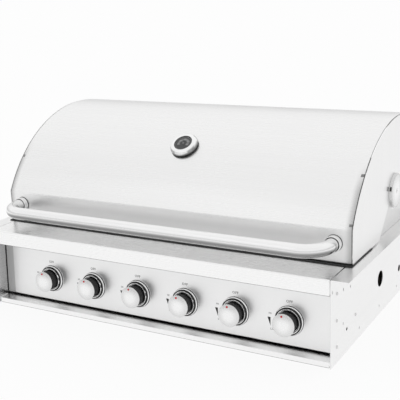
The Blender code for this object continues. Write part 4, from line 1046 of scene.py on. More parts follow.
PORTS = ported_shape()
BURNER_STEEL = heated_steel("burner_steel", level=0.60, roughness=0.38, low=-0.02, high=0.10)
BURNER_SIDES = 32
PORT_STRIPS = (4, 5, 10, 11)
for number, x in enumerate(KNOB_XS, start=1):
    low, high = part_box(f"burner_{number}")
    z = (low.z + high.z) / 2
    shoulder = high.y - TAIL_LENGTH
    sections = [(low.y, BURNER_RADIUS, False)]
    ports = port_stations(low.y + PORTS_START, shoulder - PORTS_END, PORTS_MARGIN)
    sections += [(y, BURNER_RADIUS, slit) for y, slit in ports]
    sections += [(shoulder - BURNER_RADIUS, BURNER_RADIUS, False), (shoulder, BURNER_TAIL, False),
                 (high.y, BURNER_TAIL, False), (high.y, BURNER_TAIL * 0.02, False)]
    rows = [([(x + radius * math.cos(math.tau * j / BURNER_SIDES), y,
               z + radius * math.sin(math.tau * j / BURNER_SIDES)) for j in range(BURNER_SIDES)], slit)
            for y, radius, slit in sections]
    tube = slitted(f"burner_tube_{number}", rows, PORT_STRIPS, True, BURNER_STEEL, BURNER_WALL)
    fitted(tube, f"burner_{number}", BURNER_STEEL)

# Flame tamers
# Three sheets, each bent into two ridges over a pair of burners, with slits down both flanks of each ridge
# so that heat comes through and drips run off.
TAMER_SHEET = 0.0012
TAMER_FLAT = 0.02075
TAMER_RISE = 0.026
TAMER_ROUND = 0.004
TAMER_FOLD = 0.003
TAMER_MARGIN = 0.020
TAMER_STEEL = heated_steel("tamer_steel", level=0.56, roughness=0.42, low=0.10, high=0.15)
for number in (1, 2, 3):
    low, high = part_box(f"flame_tamer_{number}")
    middle = (low.x + high.x) / 2
    half = (high.x - low.x) / 2
    ridge = (KNOB_XS[1] - KNOB_XS[0]) / 2
    flank = ridge - TAMER_FLAT
    line = [(-half, 0, 0)]
    for peak in (-ridge, ridge):
        line += [(peak - flank, 0, TAMER_FOLD), (peak, TAMER_RISE, TAMER_ROUND),
                 (peak + flank, 0, TAMER_FOLD)]
    line.append((half, 0, 0))
    profile = []
    slits = []
    bends = rounded(line, steps=4)
    for i, point in enumerate(bends):
        profile.append(point)
        run = bends[i + 1] - point if i < len(bends) - 1 else Vector((0, 0))
        if run.length > flank * 0.6 and abs(run.y) > TAMER_RISE / 3:
            profile += [point + run * 0.3, point + run * 0.7]
            slits.append(len(profile) - 2)
    top = low.z + TAMER_SHEET
    rows = [([(middle + a, y, top + b) for a, b in profile], slit)
            for y, slit in port_stations(low.y, high.y, TAMER_MARGIN)]
    tamer = slitted(f"tamer_sheet_{number}", rows, slits, False, TAMER_STEEL, TAMER_SHEET)
    fitted(tamer, f"flame_tamer_{number}", TAMER_STEEL)

# Cooking grates
# Three grates of stainless rod: stout rods from front to back, welded on thinner cross rods.
GRATE_ROD = 0.00275
GRATE_TIE = 0.0020
GRATE_PITCH = 0.0135
TIE_COUNT = 5


def rod_row_shape():
    """Tree that lays out equal rods side by side."""
    shape = Shape("rod_row", Count="Int", Start="Vector", Step="Vector", Run="Vector", Radius="Float")
    row = shape.node("GeometryNodeMeshLine", {
        "Count": shape.given("Count"), "Start Location": shape.given("Start"), "Offset": shape.given("Step"),
    })
    path = shape.node("GeometryNodeCurvePrimitiveLine", {"End": shape.given("Run")})
    ring = shape.node("GeometryNodeCurvePrimitiveCircle", {"Resolution": 12, "Radius": shape.given("Radius")})
    rod = shape.node("GeometryNodeCurveToMesh", {"Curve": path, "Profile Curve": ring, "Fill Caps": True})
    dots = shape.node("GeometryNodeMeshToPoints", {"Mesh": row})
    shape.end(shape.node("GeometryNodeInstanceOnPoints", {"Points": dots, "Instance": rod}))
    return shape


def rod_row(name, finish, count, start, step, run, radius):
    """Row of equal rods; the first starts at a point, and the next ones follow by a step."""
    nothing = bpy.data.meshes.new("none")
    return ROD_ROW.grown(name, nothing, finish, Count=count, Start=start, Step=step, Run=run, Radius=radius)


ROD_ROW = rod_row_shape()
GRATE_STEEL = heated_steel("grate_steel", level=0.66, roughness=0.34, low=0.12, high=0.20)
for number in (1, 2, 3):
    low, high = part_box(f"cooking_grate_{number}")
    count = int((high.x - low.x - GRATE_ROD * 2) / GRATE_PITCH) + 1
    pitch = (high.x - low.x - GRATE_ROD * 2) / (count - 1)
    bars = rod_row("bars", GRATE_STEEL, count, (low.x + GRATE_ROD, low.y, high.z - GRATE_ROD), (pitch, 0, 0),
                   (0, high.y - low.y, 0), GRATE_ROD)
    reach = (high.y - low.y - GRATE_TIE * 6) / (TIE_COUNT - 1)
    ties = rod_row("ties", GRATE_STEEL, TIE_COUNT, (low.x, low.y + GRATE_TIE * 3, low.z + GRATE_TIE),
                   (0, reach, 0), (high.x - low.x, 0, 0), GRATE_TIE)
    fitted(evened(gathered(f"grate_rods_{number}", bars, ties)), f"cooking_grate_{number}", GRATE_STEEL)

# Warming rack
# Light rack of chromed wire: thin wires from front to back on two stout rails and a middle one.
RACK_WIRE = 0.0015
RACK_RAIL = 0.0020
RACK_PITCH = 0.018
RACK_CHROME = chrome_plate("rack_chrome", level=0.80, roughness=0.16)
low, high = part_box("warming_rack")
count = int((high.x - low.x - RACK_WIRE * 2) / RACK_PITCH) + 1
pitch = (high.x - low.x - RACK_WIRE * 2) / (count - 1)
wires = rod_row("wires", RACK_CHROME, count, (low.x + RACK_WIRE, low.y, high.z - RACK_WIRE), (pitch, 0, 0),
                (0, high.y - low.y, 0), RACK_WIRE)
rails = rod_row("rails", RACK_CHROME, 3, (low.x, low.y + RACK_RAIL * 2, low.z + RACK_RAIL),
                (0, (high.y - low.y - RACK_RAIL * 4) / 2, 0), (high.x - low.x, 0, 0), RACK_RAIL)
fitted(evened(gathered("rack_wires", wires, rails)), "warming_rack", RACK_CHROME)

# Drip tray
# Shallow pan over the whole foot of the box. Its folded front lip is the rail under the control panel,
# and it slides on an angle along each side panel.
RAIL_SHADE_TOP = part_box("drip_tray")[0].z + 0.0012


def rail_foot_shade(steel):
    """Painted shade: a thin dark line along the foot of the rail, where its edge turns away: (share, shade).
    """
    return (steel.along("Z") < RAIL_SHADE_TOP) * 0.6, 0.10


TRAY_STEEL = brushed_steel("tray_steel", level=0.97, roughness=0.30, grain="X", dirt_and_shade=rail_foot_shade)
dressed("drip_pan", "drip_tray", TRAY_STEEL, edge=0.0005)
RUNNER_STEEL = brushed_steel("runner_steel", level=0.60, roughness=0.42, grain="Y")
for word, side in SIDES:
    dressed(f"runner_{word}", f"tray_runner_{word}", RUNNER_STEEL, edge=EDGE)

# Lid skin
# One sheet of brushed steel: an upright front band, a crease, and a long roll back to the hinge side.
# Both ends are eased down over a narrow margin, and a hem closes the front foot and the tail.
SKIN_LOW, SKIN_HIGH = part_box("lid_skin")
LID_SHEET = 0.0012
LID_FRONT = SKIN_LOW.y
LID_FOOT = SKIN_LOW.z
LID_TAIL = SKIN_HIGH.y
SKIN_HALF = SKIN_HIGH.x
ROLL_RADIUS = 0.374
BAND_TOP = DECK_TOP + 0.0815
ROLL_Z = SKIN_HIGH.z - ROLL_RADIUS
ROLL_Y = LID_FRONT + math.sqrt(ROLL_RADIUS ** 2 - (BAND_TOP - ROLL_Z) ** 2)
ROLL_STEPS = 60
LID_COLUMNS = 72
HEM = 0.009
TAIL_HEM = 0.012
CREASE = 0.0025
END_MARGIN = 0.012
END_DROP = 0.0020
END_GAP = 0.0010
END_SHADE_REACH = 0.020
HANDLE_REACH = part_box("handle_tube")[1].x - 0.02
HANDLE_FADE = (HANDLE_REACH - 0.06, HANDLE_REACH + 0.01)
MARGIN_FADE = (DECK_TOP + 0.15, DECK_TOP + 0.21)
HANDLE_REFLECTION_START = (DECK_TOP + 0.010, DECK_TOP + 0.040)
HANDLE_REFLECTION_END = (BAND_TOP - 0.030, BAND_TOP - 0.010)
SEAM_LINE = 0.0010
END_MARK_SIZE = (0.0088, 0.0055)
END_MARKS = ((1, DECK_TOP + 0.0905), (1, DECK_TOP + 0.1850), (-1, DECK_TOP + 0.1670))
GAUGE_LEAN = math.radians(35.2)
GAUGE_OFFSET = 0.005
GAUGE_PLACE = (Matrix.Translation((GAUGE_OFFSET, ROLL_Y - ROLL_RADIUS * math.sin(GAUGE_LEAN),
                                   ROLL_Z + ROLL_RADIUS * math.cos(GAUGE_LEAN)))
               @ Matrix.Rotation(GAUGE_LEAN, 4, "X"))
PROBE_HOLE = 0.0055


def rolled_lid_shape():
    """Tree that carries the lid's outline across its width, eased down at both ends."""
    shape = Shape("rolled_lid", Rows="Int", Columns="Int", Half="Float", Margin="Float", Drop="Float")
    rows, columns, half = shape.given("Rows"), shape.given("Columns"), shape.given("Half")
    sheet = shape.node("GeometryNodeMeshGrid", {"Vertices X": columns, "Vertices Y": rows})
    index = shape.node("GeometryNodeInputIndex")
    row = index % rows
    column = (index - row) / rows
    across = column / (columns - 1) * 2 - 1
    nearness = (1 - abs(across)) ** 2
    x = across.maths("SIGN", across) * (1 - nearness) * half
    rim = (1 - nearness * half / shape.given("Margin")).at_least(0)
    drop = (1 - (1 - rim * rim) ** 0.5) * shape.given("Drop")
    outline = shape.given("Geometry")
    place = shape.node("GeometryNodeSampleIndex", {
        "Geometry": outline, "Value": shape.node("GeometryNodeInputPosition"), "Index": row,
    }, data_type="FLOAT_VECTOR")
    square = shape.node("GeometryNodeSampleIndex", {
        "Geometry": outline, "Index": row,
        "Value": shape.node("GeometryNodeInputNamedAttribute", {"Name": "square"}, data_type="FLOAT_VECTOR"),
    }, data_type="FLOAT_VECTOR")
    sunk = shape.node("ShaderNodeVectorMath", {0: square, 3: drop}, operation="SCALE")
    flat = shape.node("ShaderNodeVectorMath", {0: place, 1: sunk}, operation="SUBTRACT")
    there = shape.node("ShaderNodeVectorMath", {0: flat, 1: shape.node("ShaderNodeCombineXYZ", {"X": x})},
                       operation="ADD")
    shape.end(shape.node("GeometryNodeSetPosition", {"Geometry": sheet, "Position": there}))
    return shape


def roll_points(inset, start_z, end_y):
    """Points up the lid's roll, inside its skin by an inset, from a height to a setback."""
    radius = ROLL_RADIUS - inset
    start = math.pi - math.asin((start_z - ROLL_Z) / radius)
    end = math.acos((end_y - ROLL_Y) / radius)
    angles = [start + (end - start) * i / ROLL_STEPS for i in range(ROLL_STEPS + 1)]
    return [(ROLL_Y + radius * math.cos(a), ROLL_Z + radius * math.sin(a)) for a in angles]


def painted_lid_shade(steel):
    """Painted shade on the skin: darker towards each end low down and dark along the edge at the seam, with
    small dark marks near the ends and a painted reflection of the handle on the band.
    """
    out = abs(steel.along("X"))
    z = steel.along("Z")
    low = 1 - steel.rising(z, *MARGIN_FADE)
    end_shade = steel.rising(out, SKIN_HALF - END_SHADE_REACH, SKIN_HALF) * low * 0.5
    # Painted shade: dark along the skin's edge at the seam, and small dark marks near the ends.
    seam = out > SKIN_HALF - END_GAP - SEAM_LINE
    end_marks = 0
    for side, at in END_MARKS:
        end = steel.along("X") * side > SKIN_HALF - END_MARK_SIZE[0]
        end_marks = (abs(z - at) < END_MARK_SIZE[1] / 2) * end + end_marks
    # Painted reflection of the handle on the band, fading out near the crease and beyond the handle's ends.
    painted_shade = (1 - steel.rising(z, *HANDLE_REFLECTION_END)) * (1 - steel.rising(out, *HANDLE_FADE)) * 0.24
    painted_shade = painted_shade * steel.rising(z, *HANDLE_REFLECTION_START)
    return end_shade.at_least((seam + end_marks) * 0.85).at_least(painted_shade).at_most(1), 0.12


def band_haze(steel):
    """Coarser grinding of the upright band."""
    return (steel.along("Z") < BAND_TOP - CREASE) * 0.10


LID_STEEL = brushed_steel("lid_steel", level=0.88, roughness=0.27, grain="X", dirt_and_shade=painted_lid_shade,
                          dulled=band_haze)
roll = roll_points(0, BAND_TOP, LID_TAIL)
outline = rounded(
    [(LID_FRONT + HEM, LID_FOOT, 0), (LID_FRONT, LID_FOOT, CREASE), (LID_FRONT, BAND_TOP, CREASE)]
    + [(y, z, 0) for y, z in roll[1:-1]]
    + [(LID_TAIL, roll[-1][1], CREASE), (LID_TAIL, roll[-1][1] - TAIL_HEM, 0)])
squares = [there - here for here, there in zip(outline, moved_left(outline, 1.0))]
start = bpy.data.meshes.new("lid_outline")
start.from_pydata([(0, y, z) for y, z in outline], [(i, i + 1) for i in range(len(outline) - 1)], [])
start.attributes.new("square", "FLOAT_VECTOR", "POINT").data.foreach_set(
    "vector", [part for y, z in squares for part in (0, y, z)])
skin = rolled_lid_shape().grown("lid_shell", start, LID_STEEL, Rows=len(outline), Columns=LID_COLUMNS,
                                Half=SKIN_HALF - END_GAP, Margin=END_MARGIN, Drop=END_DROP)
punch = drawn("probe_punch", [ring_line((0, 0), PROBE_HOLE, 32)], -PUNCH_REACH, PUNCH_REACH, "Z")
punch.data.transform(GAUGE_PLACE)
fitted(evened(pierced(walled(skin, LID_SHEET), punch)), "lid_skin", LID_STEEL)

# Lid liner
# Inner sheet of the double lid, spot-welded inside the skin. It stays duller than the skin and browns
# with use towards its top.
LINER_STEEL = heated_steel("liner_steel", level=0.60, roughness=0.40, low=0.60, high=0.10)
dressed("lid_lining", "lid_liner", LINER_STEEL, edge=EDGE)

# Lid ends
# Flat end plates under the skin's eased edge, brushed upright, cut away behind along a straight edge
# and round the hinge, where the wing of the cowl shows.
HINGE_LOW, HINGE_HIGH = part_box("hinge_pin_right")
HINGE_Y = (HINGE_LOW.y + HINGE_HIGH.y) / 2
HINGE_Z = (HINGE_LOW.z + HINGE_HIGH.z) / 2
COVER_RADIUS = (HINGE_HIGH.z - HINGE_LOW.z) / 2
LOBE_RADIUS = COVER_RADIUS + 0.003
LOBE_START = math.radians(-148.3)
LOBE_STEPS = 36
END_CORNER = 0.004
FOOT_CORNER = 0.002
CUTAWAY_REACH = 0.112
TAIL_DROP = 0.038
END_INSET = 0.0018
LID_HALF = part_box("lid_cap_right")[1].x
PIN_BORE = 0.0054


def end_outline():
    """Outline of an end plate, from its front foot up the roll, down the tail and round the hinge."""
    front = LID_FRONT + END_INSET
    radius = ROLL_RADIUS - END_INSET
    crease_z = ROLL_Z + math.sqrt(radius ** 2 - (ROLL_Y - front) ** 2)
    roll = roll_points(END_INSET, crease_z, LID_TAIL - END_INSET)
    tail_y = LID_TAIL - END_INSET
    tail_z = roll[-1][1] - TAIL_DROP
    away = Vector((tail_y - HINGE_Y, tail_z - HINGE_Z))
    lobe_end = math.atan2(away.y, away.x) - math.acos(LOBE_RADIUS / away.length)
    lobe = [(HINGE_Y + LOBE_RADIUS * math.cos(a), HINGE_Z + LOBE_RADIUS * math.sin(a), 0)
            for a in (lobe_end + (LOBE_START - lobe_end) * i / LOBE_STEPS for i in range(LOBE_STEPS + 1))]
    corners = [(front, LID_FOOT, FOOT_CORNER)] + [(*point, 0) for point in roll[:-1]]
    corners += [(*roll[-1], END_CORNER), (tail_y, tail_z, END_CORNER)] + lobe
    return rounded(corners + [(HINGE_Y - CUTAWAY_REACH, LID_FOOT, 0.0015)], closed=True)


END_STEEL = brushed_steel("end_steel", level=0.90, roughness=0.29, grain="Z")
for word, side in SIDES:
    ends = sorted((side * LID_HALF, side * (LID_HALF - SHEET)))
    plate = drawn(f"lid_end_{word}", [end_outline(), ring_line((HINGE_Y, HINGE_Z), PIN_BORE, 32)], *ends, "X")
    fitted(softened(plate, 0.0004), f"lid_cap_{word}", END_STEEL)

# Hinge covers
# Round turned cover at each end of the lid, with a groove round its face, a countersunk cross-head screw
# in the middle and a black plug in the rim. The pin behind it turns in the cowl's wing.
COVER_FACE = LID_HALF + CLEAR
COVER_CROWN = max(abs(HINGE_LOW.x), abs(HINGE_HIGH.x))
COVER_DISH = COVER_CROWN - 0.0030
DISH_FLOOR = 0.0048
DISH_TOP = 0.0052
COVER_GROOVE = 0.0010
GROOVE_EDGE = COVER_RADIUS - 0.0022
GROOVE_FLOOR = COVER_CROWN - COVER_GROOVE
PIN_RADIUS = 0.005
PIN_TAIL = min(abs(HINGE_LOW.x), abs(HINGE_HIGH.x))
PLUG_TURN = math.radians(163)
PLUG_HALF = math.radians(7)
PLUG_SINK = 0.0015
PLUG_RISE = 0.0004
COVER_METAL = satin_cap("cover_metal", COVER_RADIUS)
cover_profile = rounded([
    (0, COVER_DISH, 0), (DISH_FLOOR, COVER_DISH, 0.0002), (DISH_TOP, COVER_CROWN, 0.0004),
    (GROOVE_EDGE - COVER_GROOVE, COVER_CROWN, 0.0003), (GROOVE_EDGE - COVER_GROOVE, GROOVE_FLOOR, 0),
    (GROOVE_EDGE, GROOVE_FLOOR, 0), (GROOVE_EDGE, COVER_CROWN - 0.0002, 0.0003),
    (COVER_RADIUS, COVER_CROWN - 0.0006, 0.0008), (COVER_RADIUS, COVER_FACE, 0), (PIN_RADIUS, COVER_FACE, 0),
    (PIN_RADIUS, PIN_TAIL, 0), (0, PIN_TAIL, 0),
], steps=5)
plug_line = [((COVER_RADIUS + out) * math.cos(a), (COVER_RADIUS + out) * math.sin(a)) for out, a in (
    (-PLUG_SINK, PLUG_TURN - PLUG_HALF), (PLUG_RISE, PLUG_TURN - PLUG_HALF),
    (PLUG_RISE, PLUG_TURN + PLUG_HALF), (-PLUG_SINK, PLUG_TURN + PLUG_HALF))]
for word, side in SIDES:
    place = Matrix.Translation((0, HINGE_Y, HINGE_Z)) @ Matrix.Rotation(side * math.pi / 2, 4, "Y")
    fitted(turned(f"hinge_cover_{word}", cover_profile, place), f"hinge_pin_{word}", COVER_METAL)
    head = [((side * (COVER_DISH - 0.0002), HINGE_Y, HINGE_Z), (0, side * math.pi / 2, 0))]
    set_out(f"hinge_screw_{word}", head, SCREW, f"hinge_pin_{word}", SCREW_STEEL)
    rim = sorted((side * (COVER_FACE + 0.0012), side * GROOVE_FLOOR))
    plug = softened(drawn(f"hinge_plug_{word}", [plug_line], *rim, "X"), 0.0002)
    plug.data.transform(Matrix.Translation((0, HINGE_Y, HINGE_Z)))
    fitted(plug, f"hinge_pin_{word}", RUBBER_AND_SHADE, stands_for=False)
bpy.data.objects.remove(SCREW)

# Handle
# Polished steel tube with a wide bend at each end. Both ends run back to the lid's front band, each
# through a collar.
TUBE_LOW, TUBE_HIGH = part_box("handle_tube")
TUBE_RADIUS = 0.0159
TUBE_WALL = 0.0016
HANDLE_BEND = 0.058
HANDLE_X = TUBE_HIGH.x - TUBE_RADIUS
HANDLE_Y = TUBE_LOW.y + TUBE_RADIUS
HANDLE_Z = (TUBE_LOW.z + TUBE_HIGH.z) / 2
HANDLE_SEAT = LID_FRONT - CLEAR


def bent_tube_shape():
    """Tree that bends a tube along a run of corners."""
    shape = Shape("bent_tube", Bend="Float", Steps="Int", Radius="Float", Sides="Int")
    run = shape.node("GeometryNodeMeshToCurve", {"Mesh": shape.given("Geometry")})
    path = shape.node("GeometryNodeFilletCurve", {
        "Curve": run, "Count": shape.given("Steps"), "Radius": shape.given("Bend"),
    }, mode="POLY")
    ring = shape.node("GeometryNodeCurvePrimitiveCircle", {
        "Resolution": shape.given("Sides"), "Radius": shape.given("Radius"),
    })
    shape.end(shape.node("GeometryNodeCurveToMesh", {"Curve": path, "Profile Curve": ring}))
    return shape


def handle_steel(name):
    """Steel tube polished along its length with fine draw lines, painted with reflections: dark below the
    middle with a light line at the foot, and light on the back.
    """
    steel = Finish(name)
    lines = steel.noise([6, 500, 500], detail=3.0)
    marks = steel.noise(12, detail=4.0)
    rise = (steel.along("Z") - HANDLE_Z) / TUBE_RADIUS * 0.5 + 0.5
    # Painted reflections: light above the middle, a dark band below it and a lighter line at the foot.
    painted_shade = steel.node("ShaderNodeValToRGB", {0: rise}, stops=(
        (0.04, grey(0.70)), (0.58, grey(0.93)), (0.20, grey(0.42)), (0.30, grey(0.22)), (0.42, grey(0.34)),
    ))
    # Painted light on the back of the straight part, which faces the lid.
    back = steel.rising(steel.along("Y"), HANDLE_Y - TUBE_RADIUS / 4, HANDLE_Y + TUBE_RADIUS / 4)
    painted_shade = steel.blend(back * (abs(steel.along("X")) < HANDLE_X - HANDLE_BEND), painted_shade, grey(0.97))
    return steel.shade({
        "Base Color": steel.blend((lines + marks) * 0.07, painted_shade, grey(0.30)),
        "Metallic": 1.0,
        "Roughness": (lines - 0.5) * 0.06 + (marks - 0.5) * 0.08 + 0.17,
        "Normal": steel.bump(lines, depth=0.000006),
    })


HANDLE_STEEL = handle_steel("handle_steel")
run = bpy.data.meshes.new("handle_run")
run.from_pydata([(-HANDLE_X, HANDLE_SEAT, HANDLE_Z), (-HANDLE_X, HANDLE_Y, HANDLE_Z),
                 (HANDLE_X, HANDLE_Y, HANDLE_Z), (HANDLE_X, HANDLE_SEAT, HANDLE_Z)],
                [(0, 1), (1, 2), (2, 3)], [])
bar = bent_tube_shape().grown("handle_bar", run, HANDLE_STEEL, Bend=HANDLE_BEND, Steps=24, Radius=TUBE_RADIUS,
                              Sides=64)
fitted(evened(walled(bar, TUBE_WALL)), "handle_tube", HANDLE_STEEL)

# Handle collars
# Chromed collar at each end of the handle. A black ring under it, a little proud, stands for the shadow line
# round its foot, and a black ring in its mouth round the tube stands for the shade in the gap there.
COLLAR_BORE = TUBE_RADIUS + CLEAR
MOUTH_BORE = TUBE_RADIUS + 0.0013
COLLAR_OUTER = COLLAR_BORE + 0.0028
COLLAR_LENGTH = 0.014
MOUTH_FLOOR = COLLAR_LENGTH - 0.0040
MOUTH_SINK = 0.0004
SNUG = 0.0001


def band_profile(inner, outer, foot, top):
    """Four corners of a plain ring's section."""
    return [(inner, foot), (inner, top), (outer, top), (outer, foot)]


collar_profile = rounded([
    (COLLAR_OUTER, SHADOW_RING_RISE, 0.0003), (COLLAR_BORE, SHADOW_RING_RISE, SNUG), (COLLAR_BORE, MOUTH_FLOOR, SNUG),
    (MOUTH_BORE, MOUTH_FLOOR, SNUG), (MOUTH_BORE, COLLAR_LENGTH, 0.0002),
    (COLLAR_OUTER, COLLAR_LENGTH, 0.0010),
], closed=True)
base_shade_profile = band_profile(COLLAR_BORE, COLLAR_OUTER + SHADOW_RING_PROUD, CLEAR, SHADOW_RING_RISE - SNUG)
collar_shade_profile = band_profile(TUBE_RADIUS + SNUG, MOUTH_BORE - SNUG, MOUTH_FLOOR + SNUG * 2,
                             COLLAR_LENGTH - MOUTH_SINK)
for word, side in SIDES:
    place = Matrix.Translation((side * HANDLE_X, LID_FRONT, HANDLE_Z)) @ Matrix.Rotation(math.pi / 2, 4, "X")
    fitted(turned(f"handle_ring_{word}", collar_profile, place, ring=True), f"handle_collar_{word}", CHROME)
    mouth = gathered(f"handle_mouth_{word}", turned("mouth", collar_shade_profile, place, ring=True),
                     turned("washer", base_shade_profile, place, ring=True))
    fitted(evened(mouth), f"handle_collar_{word}", RUBBER_AND_SHADE, stands_for=False)

# Thermometer
# Chromed housing like a shallow bowl with a thin bright rim, its foot painted dark, on a black ring that
# stands for the shadow under it. Its dark dial has a lighter zone, ticks, numbers and a pointer behind the
# clear front.
GAUGE_FACE = 0.0258
GAUGE_EDGE = 0.0365
GAUGE_TOP = 0.0145
GAUGE_LIP = 0.0006
GAUGE_WIDEST = 0.0048
GAUGE_UNDER = 0.0034
GAUGE_ROUND = 0.0004
GAUGE_REST = GAUGE_EDGE - 0.0042
PROBE_RADIUS = 0.004
PROBE_END = -0.060
CASE_SHADE_FADE = (0.0036, 0.0125)
BLOT_FADE = (0.0105, 0.0136)
FOOT_SHADE_INNER = GAUGE_EDGE - 0.0040
FOOT_SHADE_TOP = 0.0033
DIAL_WALL = 0.0238
DIAL_FLOOR = 0.0100
DIAL_RADIUS = 0.0235
DIAL_FOOT = DIAL_FLOOR + CLEAR
DIAL_TOP = DIAL_FOOT + 0.0015
ZONE_OUTER = 0.0165
ZONE_INNER = 0.0095
ZONE_START = 205
ZONE_SWEEP = 220
ZONE_STEPS = 40
INK_THICK = 0.0001
TICK_COUNT = 48
TICK_RADIUS = 0.0200
TICK_LONG = 0.0020
TICK_HALF = 0.00025
FIGURE_SIZE = 0.0046
FIGURE_RADIUS = 0.0130
FIGURE_START = 200
FIGURE_STEP = 55
FIGURE_COUNT = 5
FIGURE_COUNTING = 100
NEEDLE_TURN = math.radians(118)
NEEDLE_TAIL = -0.0060
NEEDLE_NECK = 0.0180
NEEDLE_TIP = 0.0185
NEEDLE_HALF = 0.0009
NEEDLE_LEVELS = (DIAL_TOP + 0.0009, DIAL_TOP + 0.0013)
HUB_TOP = DIAL_TOP + 0.0018
HUB_STEP = DIAL_TOP + 0.0010
HUB_CROWN = 0.0018
HUB_EDGE = 0.0026


def gauge_slope(steps=10):
    """Swelling side of the housing, from its rim down to its widest place."""
    start = GAUGE_TOP - GAUGE_ROUND
    rise = start - GAUGE_WIDEST
    width = GAUGE_EDGE - GAUGE_FACE - GAUGE_LIP
    angles = [math.pi / 2 * i / steps for i in range(steps + 1)]
    return [(GAUGE_FACE + GAUGE_LIP + width * math.sin(a) ** 0.9, start - rise * (1 - math.cos(a)))
            for a in angles]


def case_chrome():
    """Chrome with painted shade and dark painted reflections towards the foot of the housing, their edge made
    uneven by noise.
    """
    plate = Finish("case_chrome")
    axis = GAUGE_PLACE.to_3x3() @ Vector((0, 0, 1))
    foot = plate.node("ShaderNodeVectorMath", {0: plate.place, 1: GAUGE_PLACE.translation},
                      operation="SUBTRACT")
    rise = plate.node("ShaderNodeVectorMath", {0: foot, 1: axis}, output="Value", operation="DOT_PRODUCT")
    ripple = plate.noise(55, detail=3.0)
    # Painted shade and reflections: dark near the foot, with dark blots a little higher.
    share = plate.rising(rise + (ripple - 0.5) * 0.014, *CASE_SHADE_FADE)
    blots = plate.rising(plate.noise(38, detail=1.0), 0.48, 0.60)
    low = 1 - plate.rising(rise, *BLOT_FADE)
    bright = plate.blend(blots * low * 0.75, grey(0.92), grey(0.22))
    return plate.shade({
        "Base Color": plate.blend(share, grey(0.20), bright),
        "Metallic": 1.0,
        "Roughness": (ripple - 0.5) * 0.06 + 0.09,
    })


def dial_finish():
    """Dark dial behind a clear front."""
    face = Finish("dial_face")
    grain = face.noise(900, detail=2.0)
    return face.shade({
        "Base Color": face.blend(grain, (0.018, 0.018, 0.019, 1), (0.034, 0.034, 0.035, 1)),
        "Roughness": grain * 0.1 + 0.45,
        "Coat Weight": 0.4,
        "Coat Roughness": 0.12,
    })


housing_profile = rounded([
    (0, DIAL_FLOOR, 0), (DIAL_WALL, DIAL_FLOOR, 0.0002), (DIAL_WALL, GAUGE_TOP - GAUGE_ROUND, GAUGE_ROUND),
    (DIAL_WALL + GAUGE_ROUND * 2, GAUGE_TOP, GAUGE_ROUND), (GAUGE_FACE, GAUGE_TOP, 0),
], steps=4)
housing_profile += gauge_slope()
housing_profile += rounded([
    (GAUGE_EDGE, GAUGE_WIDEST, 0), (GAUGE_EDGE, GAUGE_UNDER + 0.0002, GAUGE_ROUND),
    (GAUGE_REST, GAUGE_UNDER, 0.0002), (GAUGE_REST, CLEAR, 0), (PROBE_RADIUS, CLEAR, 0),
    (PROBE_RADIUS, PROBE_END + 0.002, 0.0015), (0, PROBE_END, 0),
], steps=4)
CASE_CHROME = case_chrome()
fitted(turned("gauge_case", housing_profile, GAUGE_PLACE), "thermometer_housing", CASE_CHROME)
foot_shade_profile = [(FOOT_SHADE_INNER, CLEAR), (FOOT_SHADE_INNER, FOOT_SHADE_TOP),
                   (GAUGE_EDGE - 0.0006, FOOT_SHADE_TOP), (GAUGE_EDGE - 0.0002, CLEAR)]
foot_shade = turned("gauge_cushion", foot_shade_profile, GAUGE_PLACE, ring=True)
fitted(foot_shade, "thermometer_housing", RUBBER_AND_SHADE, stands_for=False)
DIAL_FACE = dial_finish()
DIAL_ZONE = printed("dial_zone", grey(0.16))
DIAL_INK = printed("dial_ink", grey(0.42))
dial_profile = [(0, DIAL_TOP), (DIAL_RADIUS, DIAL_TOP), (DIAL_RADIUS, DIAL_FOOT), (0, DIAL_FOOT)]
dial = turned("gauge_dial", dial_profile, GAUGE_PLACE)
fitted(dial, "thermometer_dial", DIAL_FACE)
angles = [math.radians(ZONE_START - ZONE_SWEEP * i / ZONE_STEPS) for i in range(ZONE_STEPS + 1)]
zone = drawn("gauge_zone", [[(ZONE_OUTER * math.cos(a), ZONE_OUTER * math.sin(a)) for a in angles]
                            + [(ZONE_INNER * math.cos(a), ZONE_INNER * math.sin(a)) for a in angles[::-1]]],
             DIAL_TOP, DIAL_TOP + INK_THICK, "Z")
zone.data.transform(GAUGE_PLACE)
fitted(zone, "thermometer_dial", DIAL_ZONE, stands_for=False)
tick = drawn("tick", [[(0, -TICK_HALF), (TICK_LONG, -TICK_HALF), (TICK_LONG, TICK_HALF), (0, TICK_HALF)]],
             DIAL_TOP, DIAL_TOP + INK_THICK * 1.2, "Z")
ticks = around("ticks", tick, TICK_COUNT, TICK_RADIUS, DIAL_INK)
bpy.data.objects.remove(tick)
figures = []
for i in range(FIGURE_COUNT):
    a = math.radians(FIGURE_START - FIGURE_STEP * i)
    spot = (FIGURE_RADIUS * math.cos(a), FIGURE_RADIUS * math.sin(a))
    figures.append(lettering(str(FIGURE_COUNTING * (i + 1)), FIGURE_SIZE, spot))
    figures[-1].data.transform(Matrix.Translation((0, 0, DIAL_TOP + INK_THICK)))
scale = gathered("gauge_marks", ticks, *figures)
scale.data.transform(GAUGE_PLACE)
fitted(scale, "thermometer_dial", DIAL_INK, stands_for=False)
NEEDLE_PAINT = printed("needle_paint", grey(0.16))
needle = drawn("needle", [[
    (NEEDLE_TAIL, -NEEDLE_HALF), (NEEDLE_NECK, -TICK_HALF), (NEEDLE_TIP, 0), (NEEDLE_NECK, TICK_HALF),
    (NEEDLE_TAIL, NEEDLE_HALF),
]], *NEEDLE_LEVELS, "Z")
needle.data.transform(Matrix.Rotation(NEEDLE_TURN, 4, "Z"))
hub = turned("hub", [(0, HUB_TOP), (HUB_CROWN, HUB_TOP), (HUB_EDGE, HUB_STEP), (HUB_EDGE, DIAL_TOP),
                     (0, DIAL_TOP)], steps=32)
